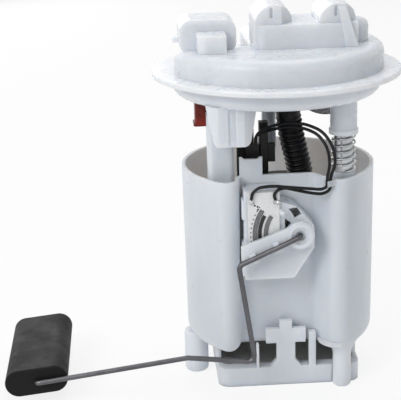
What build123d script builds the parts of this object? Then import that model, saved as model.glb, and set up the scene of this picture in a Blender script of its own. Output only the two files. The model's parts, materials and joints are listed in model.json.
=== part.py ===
from build123d import *
import os
from math import atan2, cos, radians, sin, sqrt, tan

# Fuel pump module: a swirl pot with an electric pump inside, a tank flange that slides on a sprung guide rod,
# and a float-arm level sender in a recess of the pot's front wall.
# Millimetres. Origin on the floor under the pot's axis, +Z up. The sender faces -Y and the sprung guide rod
# stands on the +X side. The module is drawn at rest: flange fully up, float arm on its low stop.

# ---------------------------------------------------------------- driving dimensions
slide_gap = 0.3            # running gap between pieces that slide or swing past each other
fit_gap = 0.05             # radial running clearance of pins and shafts
seat_gap = 0.1             # gap round a piece that is pushed into its seat

# swirl pot
pot_radius = 47.5
pot_wall = 1.8
pot_rim_z = 108.0
pot_floor_z = 19.5         # underside of the pot's floor
pot_floor_thick = 2.0
pot_draft = 0.5            # degrees, the pot narrows towards its floor
pot_bottom_round = 6.0
pot_inner_round = 4.5
recess_y = -25.0           # flat front wall that carries the sender
recess_left_x = -21.5
recess_right_x = 13.5
recess_flare = 33.0        # degrees, the right side of the recess opens outwards
lobe_round = 6.5
recess_corner_round = 3.0
sender_tab_width = 11.0
sender_tab_height = 9.0
sender_tab_inset = 6.0     # from the recess's left corner to the tab's middle
lug_reach = 12.5           # how far in front of the recess wall the wire lug stands
lug_length = 3.8
lug_embed = 1.4
lug_width = 3.2
lug_bottom_z = 105.3

# legs of the pot
leg_ring_radius = 42.2
leg_radius = 4.5
leg_flare_radius = 12.0
leg_angles = (-49.3, 70.7)
side_foot_radius = 6.0
side_foot_ring_radius = 43.5
side_foot_angle = -173.0

# base tray with the inlet strainer
tray_left_x = -33.5
tray_right_x = 37.0
tray_front_y = -30.0
tray_back_y = 30.0
tray_ledge_z = 9.6
tray_wall = 2.2
tray_bottom_thick = 2.4
tray_round = 6.0
tray_window_depth = 14.0   # how far the front window runs back before the side walls rise
latch_head_width = 19.6
latch_head_height = 7.2
latch_stem_width = 9.2
latch_depth = 3.4
latch_top_z = 29.8
latch_button_width = 6.0
latch_button_height = 4.2
post_x = 13.2
post_width = 3.4
post_top_z = 27.5
rib_x = -14.0
rib_top_z = 22.0
strainer_thick = 0.8
strainer_hole_radius = 2.0

# inlet valve in the pot's floor
valve_x = -27.0
valve_y = 10.0
valve_disc_radius = 8.0
valve_disc_thick = 1.2
valve_stem_radius = 1.4
valve_lift = 2.0
valve_port_radius = 1.5
valve_port_ring = 4.6

# tank flange
plate_radius = 60.5
plate_thick = 2.5
plate_top_z = 156.0
dome_radius = 52.0
dome_top_z = 168.0
dome_round = 5.0
cover_wall = 2.5
skirt_radius = 50.5
skirt_bottom_z = 144.0
skirt_round = 4.5
dome_cut_left_y = -14.0    # behind this line the raised cover steps down to the plate
dome_cut_mid_y = -2.0
dome_cut_left_x = -26.0
dome_cut_mid_x = -13.0

# fuel pipe block on the flange
block_left_x = -12.2
block_right_x = 30.5
block_front_y = -22.0
block_back_y = 8.0
block_top_z = 179.3
block_round = 5.0
ear_radius = 9.25
supply_x = -3.0
return_x = 27.3
ear_front_y = -20.5
spigot_radius = 3.945
spigot_bore_radius = 2.6
spigot_length = 24.0
spigot_tip_length = 13.0
spigot_bead_radius = 5.0
spigot_bead_width = 2.0
channel_z = 173.0
gusset_foot_x = 36.5
gusset_width = 6.0

# electrical connector on the flange
shroud_width = 27.0
shroud_height = 16.0
shroud_x = -34.0
shroud_bottom_z = 166.0
shroud_front_y = -16.0
shroud_length = 22.0
shroud_wall = 2.0
shroud_round = 5.5
terminal_box_x = -32.8
terminal_box_width = 13.4
terminal_box_front_y = -28.0
terminal_box_top_z = 176.6
terminal_count = 4
terminal_pitch = 3.2
terminal_width = 1.6
terminal_thick = 0.8
terminal_drop_y = -12.0
neck_back_y = -9.0
inner_socket_bottom_z = 148.0

# plug under the flange, red-brown
plug_left_x = -41.0
plug_right_x = -26.4
plug_front_y = -14.4
plug_back_y = -5.0
plug_bottom_z = 130.5

# vent dome and roll-over valve
vent_x = 37.5
vent_y = -5.0
vent_radius = 6.5
vent_top_z = 179.0
vent_ball_radius = 4.0
vent_cage_wall = 1.4
vent_cage_bottom_z = 147.0
vent_seat_z = 160.9
vent_hole_radius = 2.2

# guide pocket (flange) and guide column (pot), front left
pocket_left_x = -37.0
pocket_corner_x = -19.5
pocket_right_x = -13.0
pocket_front_y = -39.0
pocket_bottom_z = 126.0
pocket_taper = 3.6         # each side draws in by this much towards the bottom
pocket_wall = 2.0
column_left_x = -36.0
column_right_x = -23.7
column_front_y = -26.0
column_back_y = -15.0
column_wall = 1.8
column_top_z = 138.0
column_shoulder_z = 32.0
column_stem = (-31.8, -25.0, -21.5, -15.4)  # left, right, front, back
tongue_bottom_z = 122.0

# sprung guide rod, front right
rod_x = 28.6
rod_y = -27.6
rod_radius = 4.4
rod_socket_radius = 6.4
rod_socket_bottom_z = 128.0
rod_collar_radius = 7.0
rod_collar_height = 2.2
rod_bottom_z = 40.0
guide_tube_radius = 5.9
guide_tube_bottom_z = 70.0
guide_tube_top_z = 109.6
spring_wire_radius = 0.45
spring_outer_radius = 6.0
spring_turns = 5.5
stop_clip_radius = 5.2
stop_groove_radius = 3.6
stop_clip_thick = 2.0

# electric pump
pump_x = 4.0
pump_y = 9.0
pump_radius = 19.0
pump_case_wall = 1.0
pump_bottom_z = 27.0
pump_case_top_z = 86.0
pump_cap_top_z = 95.0
pump_shaft_radius = 1.5
pump_outlet_x = 11.6
pump_outlet_y = -4.0
pump_outlet_radius = 3.4
pump_outlet_height = 5.6
pump_cover_height = 7.0
pump_plate_height = 3.8
bush_radius = 4.0
armature_radius = 12.4
armature_bottom_z = 48.0
armature_length = 24.0
magnet_gap = 0.8
commutator_radius = 6.0
commutator_length = 6.0
impeller_radius = 15.0
impeller_thick = 3.6
impeller_vanes = 24
brush_size = 4.0
brush_length = 7.0
pump_terminal_height = 4.0
cushion_radius = 17.0
cushion_hole_radius = 11.0

# pump holder, black
holder_wall = 2.0
holder_bottom_z = 74.0
holder_top_z = 92.0
holder_post_x = -8.0
holder_post_width = 4.4
holder_post_depth = 5.0
holder_post_top_z = 131.0
holder_bar_left_x = -21.0
holder_bar_right_x = -2.4
holder_bar_bottom_z = 111.0
holder_bar_top_z = 120.0
holder_bar_y = -11.0
holder_bar_thick = 3.0

# hoses, pipes and leads between flange and pot
hose_outer_radius = 6.4
hose_bore_radius = 3.8
hose_top = (4.2, -8.0, 142.0)
hose_groove_depth = 1.1
hose_pitch = 3.35
hose_plain_length = 11.0
barb_radius = 3.6
return_pipe_x = -3.5
return_pipe_y = 5.0
return_pipe_radius = 3.5
return_pipe_bore_radius = 2.4
return_pipe_bottom_z = 114.0
harness_radius = 1.8
wire_radius = 0.75

# pressure regulator under the flange
regulator_x = 25.5
regulator_z = 147.0
regulator_radius = 17.5
regulator_front_y = 2.6
regulator_rim_thick = 3.0
regulator_can_radius = 13.0
regulator_can_depth = 10.0
regulator_wall = 1.2

# level sender
sender_left_x = -20.2
sender_tab_left_x = -21.2
sender_bottom_z = 59.5
sender_top_z = 103.9
sender_shoulder_z = 98.2   # top of the frame beside the card
sender_front_y = -37.4
sender_right_x = 13.2
sender_wall = 1.6
sender_face_thick = 2.0
card_right_x = -3.1
card_thick = 0.8
track_thick = 0.25
outer_track = (20.2, 22.5)  # radii about the pivot
inner_track = (15.1, 17.2)
ink_track = (18.2, 19.9)
track_low_angle = -18.0
track_high_angle = 34.0
ink_high_angle = 29.5
hub_x = 6.0
hub_z = 82.4
hub_radius = 6.7
pivot_radius = 2.4
arm_back_y = -40.1
arm_front_y = -42.5
arm_length = 30.5
arm_top_length = 27.7
arm_ring_height = 0.8
arm_hook_depth = 3.4       # how deep the float wire's hooked end sits in the lever
arm_clips = ((11.0, 13.5), (23.0, 26.0))
wiper_radii = (16.2, 19.0, 21.4)
wiper_across = 3.0         # how far the wiper stands above the wire's line
wiper_thick = 0.4
wiper_half_width = 1.5
arm_low_edge = 0.9         # lever's bottom edge above the wire's line, at its toe
arm_top_heel = 5.6
arm_top_toe = 7.4
wiper_finger_radius = 0.6
stop_peg_radius = 1.1
low_stop_along = 18.0      # where along the lever each stop peg meets it
high_stop_along = 12.0
arm_swing = 44.0           # degrees, from the low stop to the high stop
sender_wire_y = -39.0
sender_terminal_radius = 1.3
sender_terminal_height = 0.7

# float arm wire and float
float_wire_radius = 1.25
float_wire_y = -43.8
arm_bend = (-23.8, 69.1)
lower_bend = (-16.6, 19.3)
kink = (-49.6, 23.2)
float_pivot = (-123.0, 13.8)
wire_bend_radius = 3.0
float_bend_radius = 2.0
float_width = 30.6
float_height = 13.6
float_length = 68.0
float_front_y = -41.8
float_tilt = 6.0           # degrees, the float is turned by this much on its wire
float_edge_round = 0.8
retainer_radius = 3.2
retainer_thick = 0.8

# ---------------------------------------------------------------- derived
plate_bottom_z = plate_top_z - plate_thick
dome_ceiling_z = dome_top_z - cover_wall
pot_inside_z = pot_floor_z + pot_floor_thick
pot_height = pot_rim_z - pot_floor_z
plug_top_z = inner_socket_bottom_z
card_face_y = sender_front_y - card_thick
track_face_y = card_face_y - track_thick


def save(piece, name):
    """Label a finished piece and write its STEP file."""
    piece.part.label = name
    export_step(piece.part, f"parts/{name}.step")


def ring_point(radius, angle):
    """Point at a radius and an angle in degrees about the pot's axis."""
    return radius * cos(radians(angle)), radius * sin(radians(angle))


def smooth_path(points):
    """Straight runs joined by arcs, each arc as large as its two runs allow."""
    corners = [Vector(*p) for p in points]
    radii = []
    for before, corner, after in zip(corners, corners[1:], corners[2:]):
        turn = radians((corner - before).get_angle(after - corner))
        shorter_run = min((corner - before).length, (after - corner).length)
        radii.append(0.45 * shorter_run / tan(turn / 2))
    return FilletPolyline(*corners, radius=radii)


def tube_along(points, radius):
    """Solid round tube or wire along a list of points."""
    with BuildPart() as tube:
        with BuildLine():
            path = smooth_path(points)
        with BuildSketch(Plane(path @ 0, z_dir=path % 0)):
            Circle(radius)
        sweep(path=path)
    return tube


os.makedirs("parts", exist_ok=True)

# ---------------------------------------------------------------- swirl pot
recess_mouth_y = -pot_radius - 10
recess_mouth_x = recess_right_x + (recess_y - recess_mouth_y) * tan(radians(recess_flare))

with BuildSketch(Plane.XY.offset(pot_rim_z)) as pot_outline:
    Circle(pot_radius)
    with BuildLine():
        Polyline(
            (recess_left_x, recess_mouth_y),
            (recess_left_x, recess_y),
            (recess_right_x, recess_y),
            (recess_mouth_x, recess_mouth_y),
            close=True,
        )
    make_face(mode=Mode.SUBTRACT)
    inner_corners = pot_outline.vertices().filter_by_position(Axis.Y, recess_y - 0.1, recess_y + 0.1)
    fillet(inner_corners, recess_corner_round)
    lobe_corners = pot_outline.vertices().filter_by_position(Axis.Y, -pot_radius, -0.7 * pot_radius)
    fillet([v for v in lobe_corners if abs(v.X**2 + v.Y**2 - pot_radius**2) < 0.1], lobe_round)

with BuildSketch(Plane.XY.offset(pot_rim_z)) as pot_inline:
    add(pot_outline.sketch)
    offset(amount=-pot_wall, mode=Mode.REPLACE)


pot_foot_radius = pot_radius - pot_height * tan(radians(pot_draft))
leg_flare_height = leg_flare_radius - leg_radius
leg_neck_z = pot_inside_z + 2.5 - leg_flare_height

with BuildPart() as pot_legs:
    for angle in leg_angles:
        foot = ring_point(leg_ring_radius, angle)
        with BuildSketch(Plane((*foot, 0), x_dir=(1, 0, 0), z_dir=(0, -1, 0))):
            with BuildLine():
                Polyline((0, 0), (leg_radius - 0.8, 0), (leg_radius, 0.8), (leg_radius, leg_neck_z))
                RadiusArc(
                    (leg_radius, leg_neck_z),
                    (leg_flare_radius, leg_neck_z + leg_flare_height),
                    leg_flare_height,
                )
                Polyline(
                    (leg_flare_radius, leg_neck_z + leg_flare_height),
                    (0, leg_neck_z + leg_flare_height),
                    (0, 0),
                )
            make_face()
        revolve(axis=Axis((*foot, 0), (0, 0, 1)))
    with BuildSketch():
        Circle(pot_foot_radius)
    extrude(amount=pot_rim_z, mode=Mode.INTERSECT)
    side_foot = ring_point(side_foot_ring_radius, side_foot_angle)
    with BuildSketch():
        with Locations(side_foot):
            Circle(side_foot_radius)
    extrude(amount=pot_inside_z)
    fillet(pot_legs.edges().filter_by(GeomType.CIRCLE).group_by(Axis.Z)[0].sort_by(Axis.X)[0:1], 2.0)


with BuildPart() as pot_hollow:
    extrude(pot_inline.sketch, amount=-(pot_height - pot_floor_thick), taper=pot_draft)
    fillet(pot_hollow.edges().group_by(Axis.Z)[0], pot_inner_round)

tab_x = recess_left_x + sender_tab_inset
lug_y = recess_y - lug_reach
lug_wall_x = recess_right_x + lug_reach * tan(radians(recess_flare))
lug_plane = Plane(
    (lug_wall_x, lug_y, pot_rim_z),
    x_dir=(-cos(radians(recess_flare)), -sin(radians(recess_flare)), 0),
)
lug_eye = wire_radius + 0.25
lug_wires = (2 * lug_eye + wire_radius + 0.3, wire_radius + 0.3)    # distance of each wire from the wall


def lug_point(out, z):
    """Point above the wire lug's middle line, at a distance out from the wall."""
    return lug_wall_x - out * cos(radians(recess_flare)), lug_y - out * sin(radians(recess_flare)), z


with BuildPart() as reservoir_pot:
    extrude(pot_outline.sketch, amount=-pot_height, taper=pot_draft)
    fillet(reservoir_pot.edges().group_by(Axis.Z)[0], pot_bottom_round)
    add(pot_legs.part)
    add(pot_hollow.part, mode=Mode.SUBTRACT)
    # tab with two raised corners over the sender
    with BuildSketch(Plane.XZ.offset(-recess_y)):
        with BuildLine():
            Polyline(
                (tab_x - sender_tab_width / 2, pot_rim_z - 4),
                (tab_x - sender_tab_width / 2, pot_rim_z + sender_tab_height),
                (tab_x - sender_tab_width / 2 + 1.2, pot_rim_z + sender_tab_height),
                (tab_x - sender_tab_width / 2 + 2.4, pot_rim_z + sender_tab_height - 1.0),
                (tab_x + sender_tab_width / 2 - 2.4, pot_rim_z + sender_tab_height - 1.0),
                (tab_x + sender_tab_width / 2 - 1.2, pot_rim_z + sender_tab_height),
                (tab_x + sender_tab_width / 2, pot_rim_z + sender_tab_height),
                (tab_x + sender_tab_width / 2, pot_rim_z - 4),
                close=True,
            )
        make_face()
    extrude(amount=-pot_wall)
    # slotted lug on the recess's right wall that holds the sender's wires
    with BuildSketch(lug_plane):
        with Locations(((lug_length - lug_embed) / 2, 0)):
            Rectangle(lug_length + lug_embed, lug_width)
        with Locations((sum(lug_wires) / 2, 0)):
            Rectangle(lug_wires[0] - lug_wires[1] + 2 * lug_eye, 2 * lug_eye, mode=Mode.SUBTRACT)
    extrude(amount=lug_bottom_z - pot_rim_z)
    # tube that guides the rod, open at the top and bottom, fused to the inside of the wall
    with BuildSketch(Plane.XY.offset(guide_tube_bottom_z)):
        with Locations((rod_x, rod_y)):
            Circle(guide_tube_radius)
    extrude(amount=guide_tube_top_z - guide_tube_bottom_z)
    with BuildSketch(Plane.XY.offset(guide_tube_bottom_z)):
        with Locations((rod_x, rod_y)):
            Circle(rod_radius + slide_gap)
    extrude(amount=guide_tube_top_z - guide_tube_bottom_z, mode=Mode.SUBTRACT)
    # inlet valve seat: a guide hole and a ring of ports in the floor
    with BuildSketch(Plane.XY.offset(pot_floor_z)):
        with Locations((valve_x, valve_y)):
            Circle(valve_stem_radius + fit_gap)
            with PolarLocations(valve_port_ring, 6):
                Circle(valve_port_radius)
    extrude(amount=pot_floor_thick, mode=Mode.SUBTRACT)
save(reservoir_pot, "reservoir_pot")

# ---------------------------------------------------------------- guide column in the pot, front left
column_x = (column_left_x + column_right_x) / 2
column_y = (column_front_y + column_back_y) / 2
column_size = (column_right_x - column_left_x, column_back_y - column_front_y)
stem_left, stem_right, stem_front, stem_back = column_stem
with BuildPart() as guide_column:
    with BuildSketch(Plane.XY.offset(pot_inside_z)):
        with Locations(((stem_left + stem_right) / 2, (stem_front + stem_back) / 2)):
            Rectangle(stem_right - stem_left, stem_back - stem_front)
    extrude(amount=column_shoulder_z - pot_inside_z)
    with BuildSketch(Plane.XY.offset(column_shoulder_z)):
        with Locations((column_x, column_y)):
            RectangleRounded(*column_size, 2.5)
    extrude(amount=column_top_z - column_shoulder_z)
    with BuildSketch(Plane.XY.offset(column_shoulder_z + column_wall)):
        with Locations((column_x, column_y)):
            RectangleRounded(column_size[0] - 2 * column_wall, column_size[1] - 2 * column_wall, 0.7)
    extrude(amount=column_top_z - column_shoulder_z, mode=Mode.SUBTRACT)
save(guide_column, "guide_column")

# ---------------------------------------------------------------- inlet valve
valve_place = (valve_x, valve_y)
with BuildPart() as inlet_valve:
    with BuildSketch(Plane.XY.offset(pot_inside_z)):
        with Locations(valve_place):
            Circle(valve_disc_radius)
    extrude(amount=valve_disc_thick)
    with BuildSketch(Plane.XY.offset(pot_inside_z)):
        with Locations(valve_place):
            Circle(valve_stem_radius)
    extrude(amount=-(pot_floor_thick + valve_lift + 1.6))
    with BuildSketch(Plane.XY.offset(pot_floor_z - valve_lift - slide_gap)):
        with Locations(valve_place):
            Circle(valve_stem_radius + 0.8)
    extrude(amount=-1.5)
save(inlet_valve, "inlet_valve")

# ---------------------------------------------------------------- base tray and strainer
tray_x = (tray_left_x + tray_right_x) / 2
tray_y = (tray_front_y + tray_back_y) / 2
tray_size = (tray_right_x - tray_left_x, tray_back_y - tray_front_y)
latch_back_y = tray_front_y + latch_depth
with BuildPart() as base_tray:
    with BuildSketch():
        with Locations((tray_x, tray_y)):
            RectangleRounded(*tray_size, tray_round)
    extrude(amount=pot_floor_z - seat_gap)
    # the front is open above the ledge
    with BuildSketch(Plane.XY.offset(tray_ledge_z)):
        with Locations((tray_x, tray_front_y)):
            Rectangle(tray_size[0] + 2, 2 * tray_window_depth)
    extrude(amount=pot_floor_z, mode=Mode.SUBTRACT)
    # hollow under the pot
    with BuildSketch(Plane.XY.offset(tray_bottom_thick)):
        with Locations((tray_x, tray_y + tray_wall)):
            RectangleRounded(tray_size[0] - 2 * tray_wall, tray_size[1] - 4 * tray_wall, tray_round - tray_wall)
    extrude(amount=pot_floor_z, mode=Mode.SUBTRACT)
    # inlet holes under the strainer
    with BuildSketch():
        with Locations((tray_x, tray_y)):
            with GridLocations(9, 9, 6, 5):
                Circle(strainer_hole_radius)
    extrude(amount=tray_bottom_thick, mode=Mode.SUBTRACT)
    # room for the front leg and for the pot's rounded legs
    for angle in leg_angles:
        with BuildSketch():
            with Locations(ring_point(leg_ring_radius, angle)):
                Circle(leg_radius + 2 * slide_gap)
        extrude(amount=leg_neck_z, mode=Mode.SUBTRACT)
        with BuildSketch(Plane.XY.offset(leg_neck_z - 1)):
            with Locations(ring_point(leg_ring_radius, angle)):
                Circle(leg_flare_radius + slide_gap)
        extrude(amount=pot_floor_z, mode=Mode.SUBTRACT)
    # latch tongue with its T-shaped head and button
    with BuildSketch(Plane.XZ.offset(-latch_back_y)):
        head_bottom_z = latch_top_z - latch_head_height
        with BuildLine():
            Polyline(
                (-latch_stem_width * 0.85, tray_ledge_z - 1),
                (-latch_stem_width * 0.85, tray_ledge_z),
                (-latch_stem_width / 2, tray_ledge_z + 4),
                (-latch_stem_width / 2, head_bottom_z),
                (-latch_head_width / 2, head_bottom_z),
                (-latch_head_width / 2, latch_top_z),
                (-latch_button_width / 2, latch_top_z),
                (-latch_button_width / 2, latch_top_z + latch_button_height),
                (latch_button_width / 2, latch_top_z + latch_button_height),
                (latch_button_width / 2, latch_top_z),
                (latch_head_width / 2, latch_top_z),
                (latch_head_width / 2, head_bottom_z),
                (latch_stem_width / 2, head_bottom_z),
                (latch_stem_width / 2, tray_ledge_z + 4),
                (latch_stem_width * 0.85, tray_ledge_z),
                (latch_stem_width * 0.85, tray_ledge_z - 1),
                close=True,
            )
        make_face()
    extrude(amount=latch_depth)
    # side post and thin rib beside the latch
    with BuildSketch(Plane.XY.offset(tray_ledge_z)):
        with Locations((post_x, latch_back_y - latch_depth / 2)):
            Rectangle(post_width, latch_depth)
    extrude(amount=post_top_z - tray_ledge_z)
    with BuildSketch(Plane.XY.offset(tray_ledge_z)):
        with Locations((rib_x, latch_back_y - latch_depth / 2)):
            Rectangle(1.2, latch_depth)
    extrude(amount=rib_top_z - tray_ledge_z)
save(base_tray, "base_tray")

with BuildPart() as strainer_mesh:
    with BuildSketch(Plane.XY.offset(tray_bottom_thick)):
        with Locations((tray_x, tray_y + tray_wall)):
            RectangleRounded(
                tray_size[0] - 2 * tray_wall - 1, tray_size[1] - 4 * tray_wall - 1, tray_round - tray_wall - 0.5
            )
        for angle in leg_angles:
            with Locations(ring_point(leg_ring_radius, angle)):
                Circle(leg_radius + 3 * slide_gap, mode=Mode.SUBTRACT)
    extrude(amount=strainer_thick)
save(strainer_mesh, "strainer_mesh")

# ---------------------------------------------------------------- electric pump
pump_place = (pump_x, pump_y)
case_inner = pump_radius - pump_case_wall
cover_top_z = pump_bottom_z + pump_cover_height
plate_z = cover_top_z + impeller_thick + 2 * slide_gap
shaft_bottom_z = cover_top_z - 1.5
cap_skirt_z = armature_bottom_z + armature_length + 1.0
bush_top_z = pump_case_top_z - 2.0
commutator_z = armature_bottom_z + armature_length + 1.5


def pump_disc(bottom_z, height, radius, hole_radius=0.0):
    """A round plate on the pump's axis."""
    with BuildPart() as disc:
        with BuildSketch(Plane.XY.offset(bottom_z)):
            with Locations(pump_place):
                Circle(radius)
                if hole_radius:
                    Circle(hole_radius, mode=Mode.SUBTRACT)
        extrude(amount=height)
    return disc


pump_case = pump_disc(pump_bottom_z, pump_case_top_z - pump_bottom_z, pump_radius, case_inner)
save(pump_case, "pump_case")

with BuildPart() as pump_inlet_cover:
    add(pump_disc(pump_bottom_z, pump_cover_height, case_inner - fit_gap).part)
    add(pump_disc(pot_inside_z + 1.5, pump_bottom_z - pot_inside_z - 1.5, 5.0).part)
    add(pump_disc(pot_inside_z, cover_top_z - 1.6 - pot_inside_z, 2.6).part, mode=Mode.SUBTRACT)
    # port from the snout up into the impeller channel
    with BuildSketch(Plane.XY.offset(cover_top_z)):
        with Locations((pump_x, pump_y + impeller_radius - 2.5)):
            Circle(1.6)
    extrude(amount=-3.0, mode=Mode.SUBTRACT)
    with BuildSketch(Plane.XY.offset(cover_top_z)):
        with Locations(pump_place):
            Circle(pump_shaft_radius + 0.3)
    extrude(amount=-2.4, mode=Mode.SUBTRACT)
save(pump_inlet_cover, "pump_inlet_cover")

with BuildPart() as pump_plate:
    add(pump_disc(plate_z, pump_plate_height, case_inner - fit_gap, bush_radius).part)
    add(pump_disc(cover_top_z, plate_z - cover_top_z, case_inner - fit_gap, impeller_radius + 0.4).part)
    with BuildSketch(Plane.XY.offset(plate_z)):
        with Locations((pump_x, pump_y - impeller_radius + 2.5)):
            Circle(1.6)
    extrude(amount=pump_plate_height, mode=Mode.SUBTRACT)
save(pump_plate, "pump_plate")

with BuildPart() as pump_bushes:
    add(pump_disc(plate_z, pump_plate_height, bush_radius, pump_shaft_radius + fit_gap).part)
    add(pump_disc(bush_top_z - 4.0, 4.0, bush_radius, pump_shaft_radius + fit_gap).part)
save(pump_bushes, "pump_bushes")

with BuildPart() as impeller:
    add(pump_disc(cover_top_z + slide_gap, impeller_thick, impeller_radius, pump_shaft_radius).part)
    with BuildSketch(Plane.XY.offset(cover_top_z + slide_gap)):
        with Locations(pump_place):
            with PolarLocations(impeller_radius - 1.4, impeller_vanes):
                SlotCenterToCenter(0.8, 1.5)
    extrude(amount=impeller_thick, mode=Mode.SUBTRACT)
save(impeller, "impeller")

shaft = pump_disc(shaft_bottom_z, bush_top_z - shaft_bottom_z, pump_shaft_radius)
save(shaft, "pump_shaft")

with BuildPart() as armature:
    add(pump_disc(armature_bottom_z, armature_length, armature_radius, pump_shaft_radius).part)
    with BuildSketch(Plane.XY.offset(armature_bottom_z)):
        with Locations(pump_place):
            with PolarLocations(armature_radius, 8):
                Rectangle(4.0, 1.4)
    extrude(amount=armature_length, mode=Mode.SUBTRACT)
save(armature, "armature")

with BuildPart() as commutator:
    add(pump_disc(commutator_z, commutator_length, commutator_radius, pump_shaft_radius).part)
    with BuildSketch(Plane.XY.offset(commutator_z + 1)):
        with Locations(pump_place):
            with PolarLocations(commutator_radius, 8):
                Rectangle(1.2, 0.5)
    extrude(amount=commutator_length, mode=Mode.SUBTRACT)
save(commutator, "commutator")

with BuildPart() as pump_magnets:
    add(pump_disc(armature_bottom_z, armature_length, case_inner - fit_gap, armature_radius + magnet_gap).part)
    with BuildSketch(Plane.XY.offset(armature_bottom_z)):
        with Locations(pump_place):
            Rectangle(10, 2 * pump_radius)
    extrude(amount=armature_length, mode=Mode.SUBTRACT)
save(pump_magnets, "pump_magnets")

brush_z = commutator_z + commutator_length / 2
with BuildPart() as pump_end_cap:
    add(pump_disc(pump_case_top_z, pump_cap_top_z - pump_case_top_z, pump_radius).part)
    fillet(pump_end_cap.edges().group_by(Axis.Z)[-1], 2.0)
    add(pump_disc(cap_skirt_z, pump_case_top_z - cap_skirt_z, case_inner - fit_gap).part)
    add(pump_disc(cap_skirt_z, bush_top_z - 4.0 - cap_skirt_z, commutator_radius + 1.0).part, mode=Mode.SUBTRACT)
    add(pump_disc(cap_skirt_z, bush_top_z - cap_skirt_z, bush_radius).part, mode=Mode.SUBTRACT)
    # slots that hold the brushes and their springs
    with BuildSketch(Plane.YZ.offset(pump_x)):
        with Locations((pump_y, brush_z)):
            Rectangle(brush_size + 2 * fit_gap, brush_size + 2 * fit_gap)
    extrude(amount=case_inner - 1.0, both=True, mode=Mode.SUBTRACT)
    # outlet: barb on top and a bore down to the motor space
    with BuildSketch(Plane.XY.offset(pump_cap_top_z)):
        with Locations((pump_outlet_x, pump_outlet_y)):
            Circle(pump_outlet_radius)
    extrude(amount=pump_outlet_height)
    with BuildSketch(Plane.XY.offset(cap_skirt_z)):
        with Locations((pump_outlet_x, pump_outlet_y)):
            Circle(2.2)
    extrude(amount=pump_cap_top_z + pump_outlet_height - cap_skirt_z, mode=Mode.SUBTRACT)
save(pump_end_cap, "pump_end_cap")

with BuildPart() as pump_brushes:
    for side in (-1, 1):
        inner = commutator_radius + fit_gap
        with BuildSketch(Plane.YZ.offset(pump_x + side * inner)):
            with Locations((pump_y, brush_z)):
                Rectangle(brush_size, brush_size)
        extrude(amount=side * brush_length)
save(pump_brushes, "pump_brushes")

brush_end = commutator_radius + fit_gap + brush_length
brush_spring_length = case_inner - 1.0 - brush_end - 0.4
brush_spring_wire = 0.2
with BuildPart() as brush_springs:
    for side in (-1, 1):
        coil_height = brush_spring_length - 2 * brush_spring_wire
        coil_start = (pump_x + side * (brush_end + 0.2 + brush_spring_wire), pump_y, brush_z)
        with BuildLine():
            turns = Helix(coil_height / 4, coil_height, 1.5, center=coil_start, direction=(side, 0, 0))
        with BuildSketch(Plane(turns @ 0, z_dir=turns % 0)):
            Circle(brush_spring_wire)
        sweep(path=turns)
save(brush_springs, "brush_springs")

with BuildPart() as pump_terminals:
    for side in (-1, 1):
        with BuildSketch(Plane.XY.offset(pump_cap_top_z)):
            with Locations((pump_x - 8, pump_y + side * 5)):
                Rectangle(0.8, 4.0)
        extrude(amount=pump_terminal_height)
save(pump_terminals, "pump_terminals")

with BuildPart() as pump_cushion:
    add(pump_disc(pot_inside_z, pump_bottom_z - pot_inside_z, cushion_radius, cushion_hole_radius).part)
save(pump_cushion, "pump_cushion")

# ---------------------------------------------------------------- pump holder
holder_inner = pump_radius + seat_gap
holder_outer = holder_inner + holder_wall
post_y = holder_bar_y
with BuildPart() as pump_holder:
    add(pump_disc(pot_inside_z, holder_top_z - pot_inside_z, holder_outer, holder_inner).part)
    # three tall windows leave legs that stand on the pot's floor
    for turn in (30, 150, 270):
        wedge = Plane((pump_x, pump_y, pot_inside_z), x_dir=(cos(radians(turn)), sin(radians(turn)), 0))
        with BuildSketch(wedge):
            with BuildLine():
                reach = holder_outer * 2
                Polyline((0, 0), (reach, reach * 1.1), (reach, -reach * 1.1), close=True)
            make_face()
        extrude(amount=holder_bottom_z - pot_inside_z, mode=Mode.SUBTRACT)
    with BuildSketch(Plane.XY.offset(holder_bottom_z)):
        with Locations((holder_post_x, post_y)):
            RectangleRounded(holder_post_width, holder_post_depth, 0.8)
    extrude(amount=holder_post_top_z - holder_bottom_z)
    with BuildSketch(Plane.XY.offset(holder_bar_bottom_z)):
        with Locations(((holder_bar_left_x + holder_bar_right_x) / 2, holder_bar_y)):
            Rectangle(holder_bar_right_x - holder_bar_left_x, holder_bar_thick)
    extrude(amount=holder_bar_top_z - holder_bar_bottom_z)
    # hook at the free end of the bar
    with BuildSketch(Plane.XY.offset(holder_bar_bottom_z - 10)):
        with Locations((holder_bar_left_x + 0.7, holder_bar_y)):
            Rectangle(1.4, holder_bar_thick)
    extrude(amount=11)
save(pump_holder, "pump_holder")

# ---------------------------------------------------------------- tank flange
# outline of the raised cover: round, but stepped down to the plate behind the connector
with BuildSketch(Plane.XY.offset(plate_bottom_z)) as dome_outline:
    Circle(dome_radius)
    with BuildLine():
        Polyline(
            (-plate_radius, dome_cut_left_y),
            (dome_cut_left_x, dome_cut_left_y),
            (dome_cut_mid_x, dome_cut_mid_y),
            (dome_cut_mid_x, plate_radius),
            (-plate_radius, plate_radius),
            close=True,
        )
    make_face(mode=Mode.SUBTRACT)

with BuildSketch(Plane.XY.offset(plate_bottom_z)) as dome_inline:
    add(dome_outline.sketch)
    offset(amount=-cover_wall, mode=Mode.REPLACE)

with BuildPart() as dome:
    extrude(dome_outline.sketch, amount=dome_top_z - plate_bottom_z)
    fillet(dome.edges().group_by(Axis.Z)[-1], dome_round)

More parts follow.
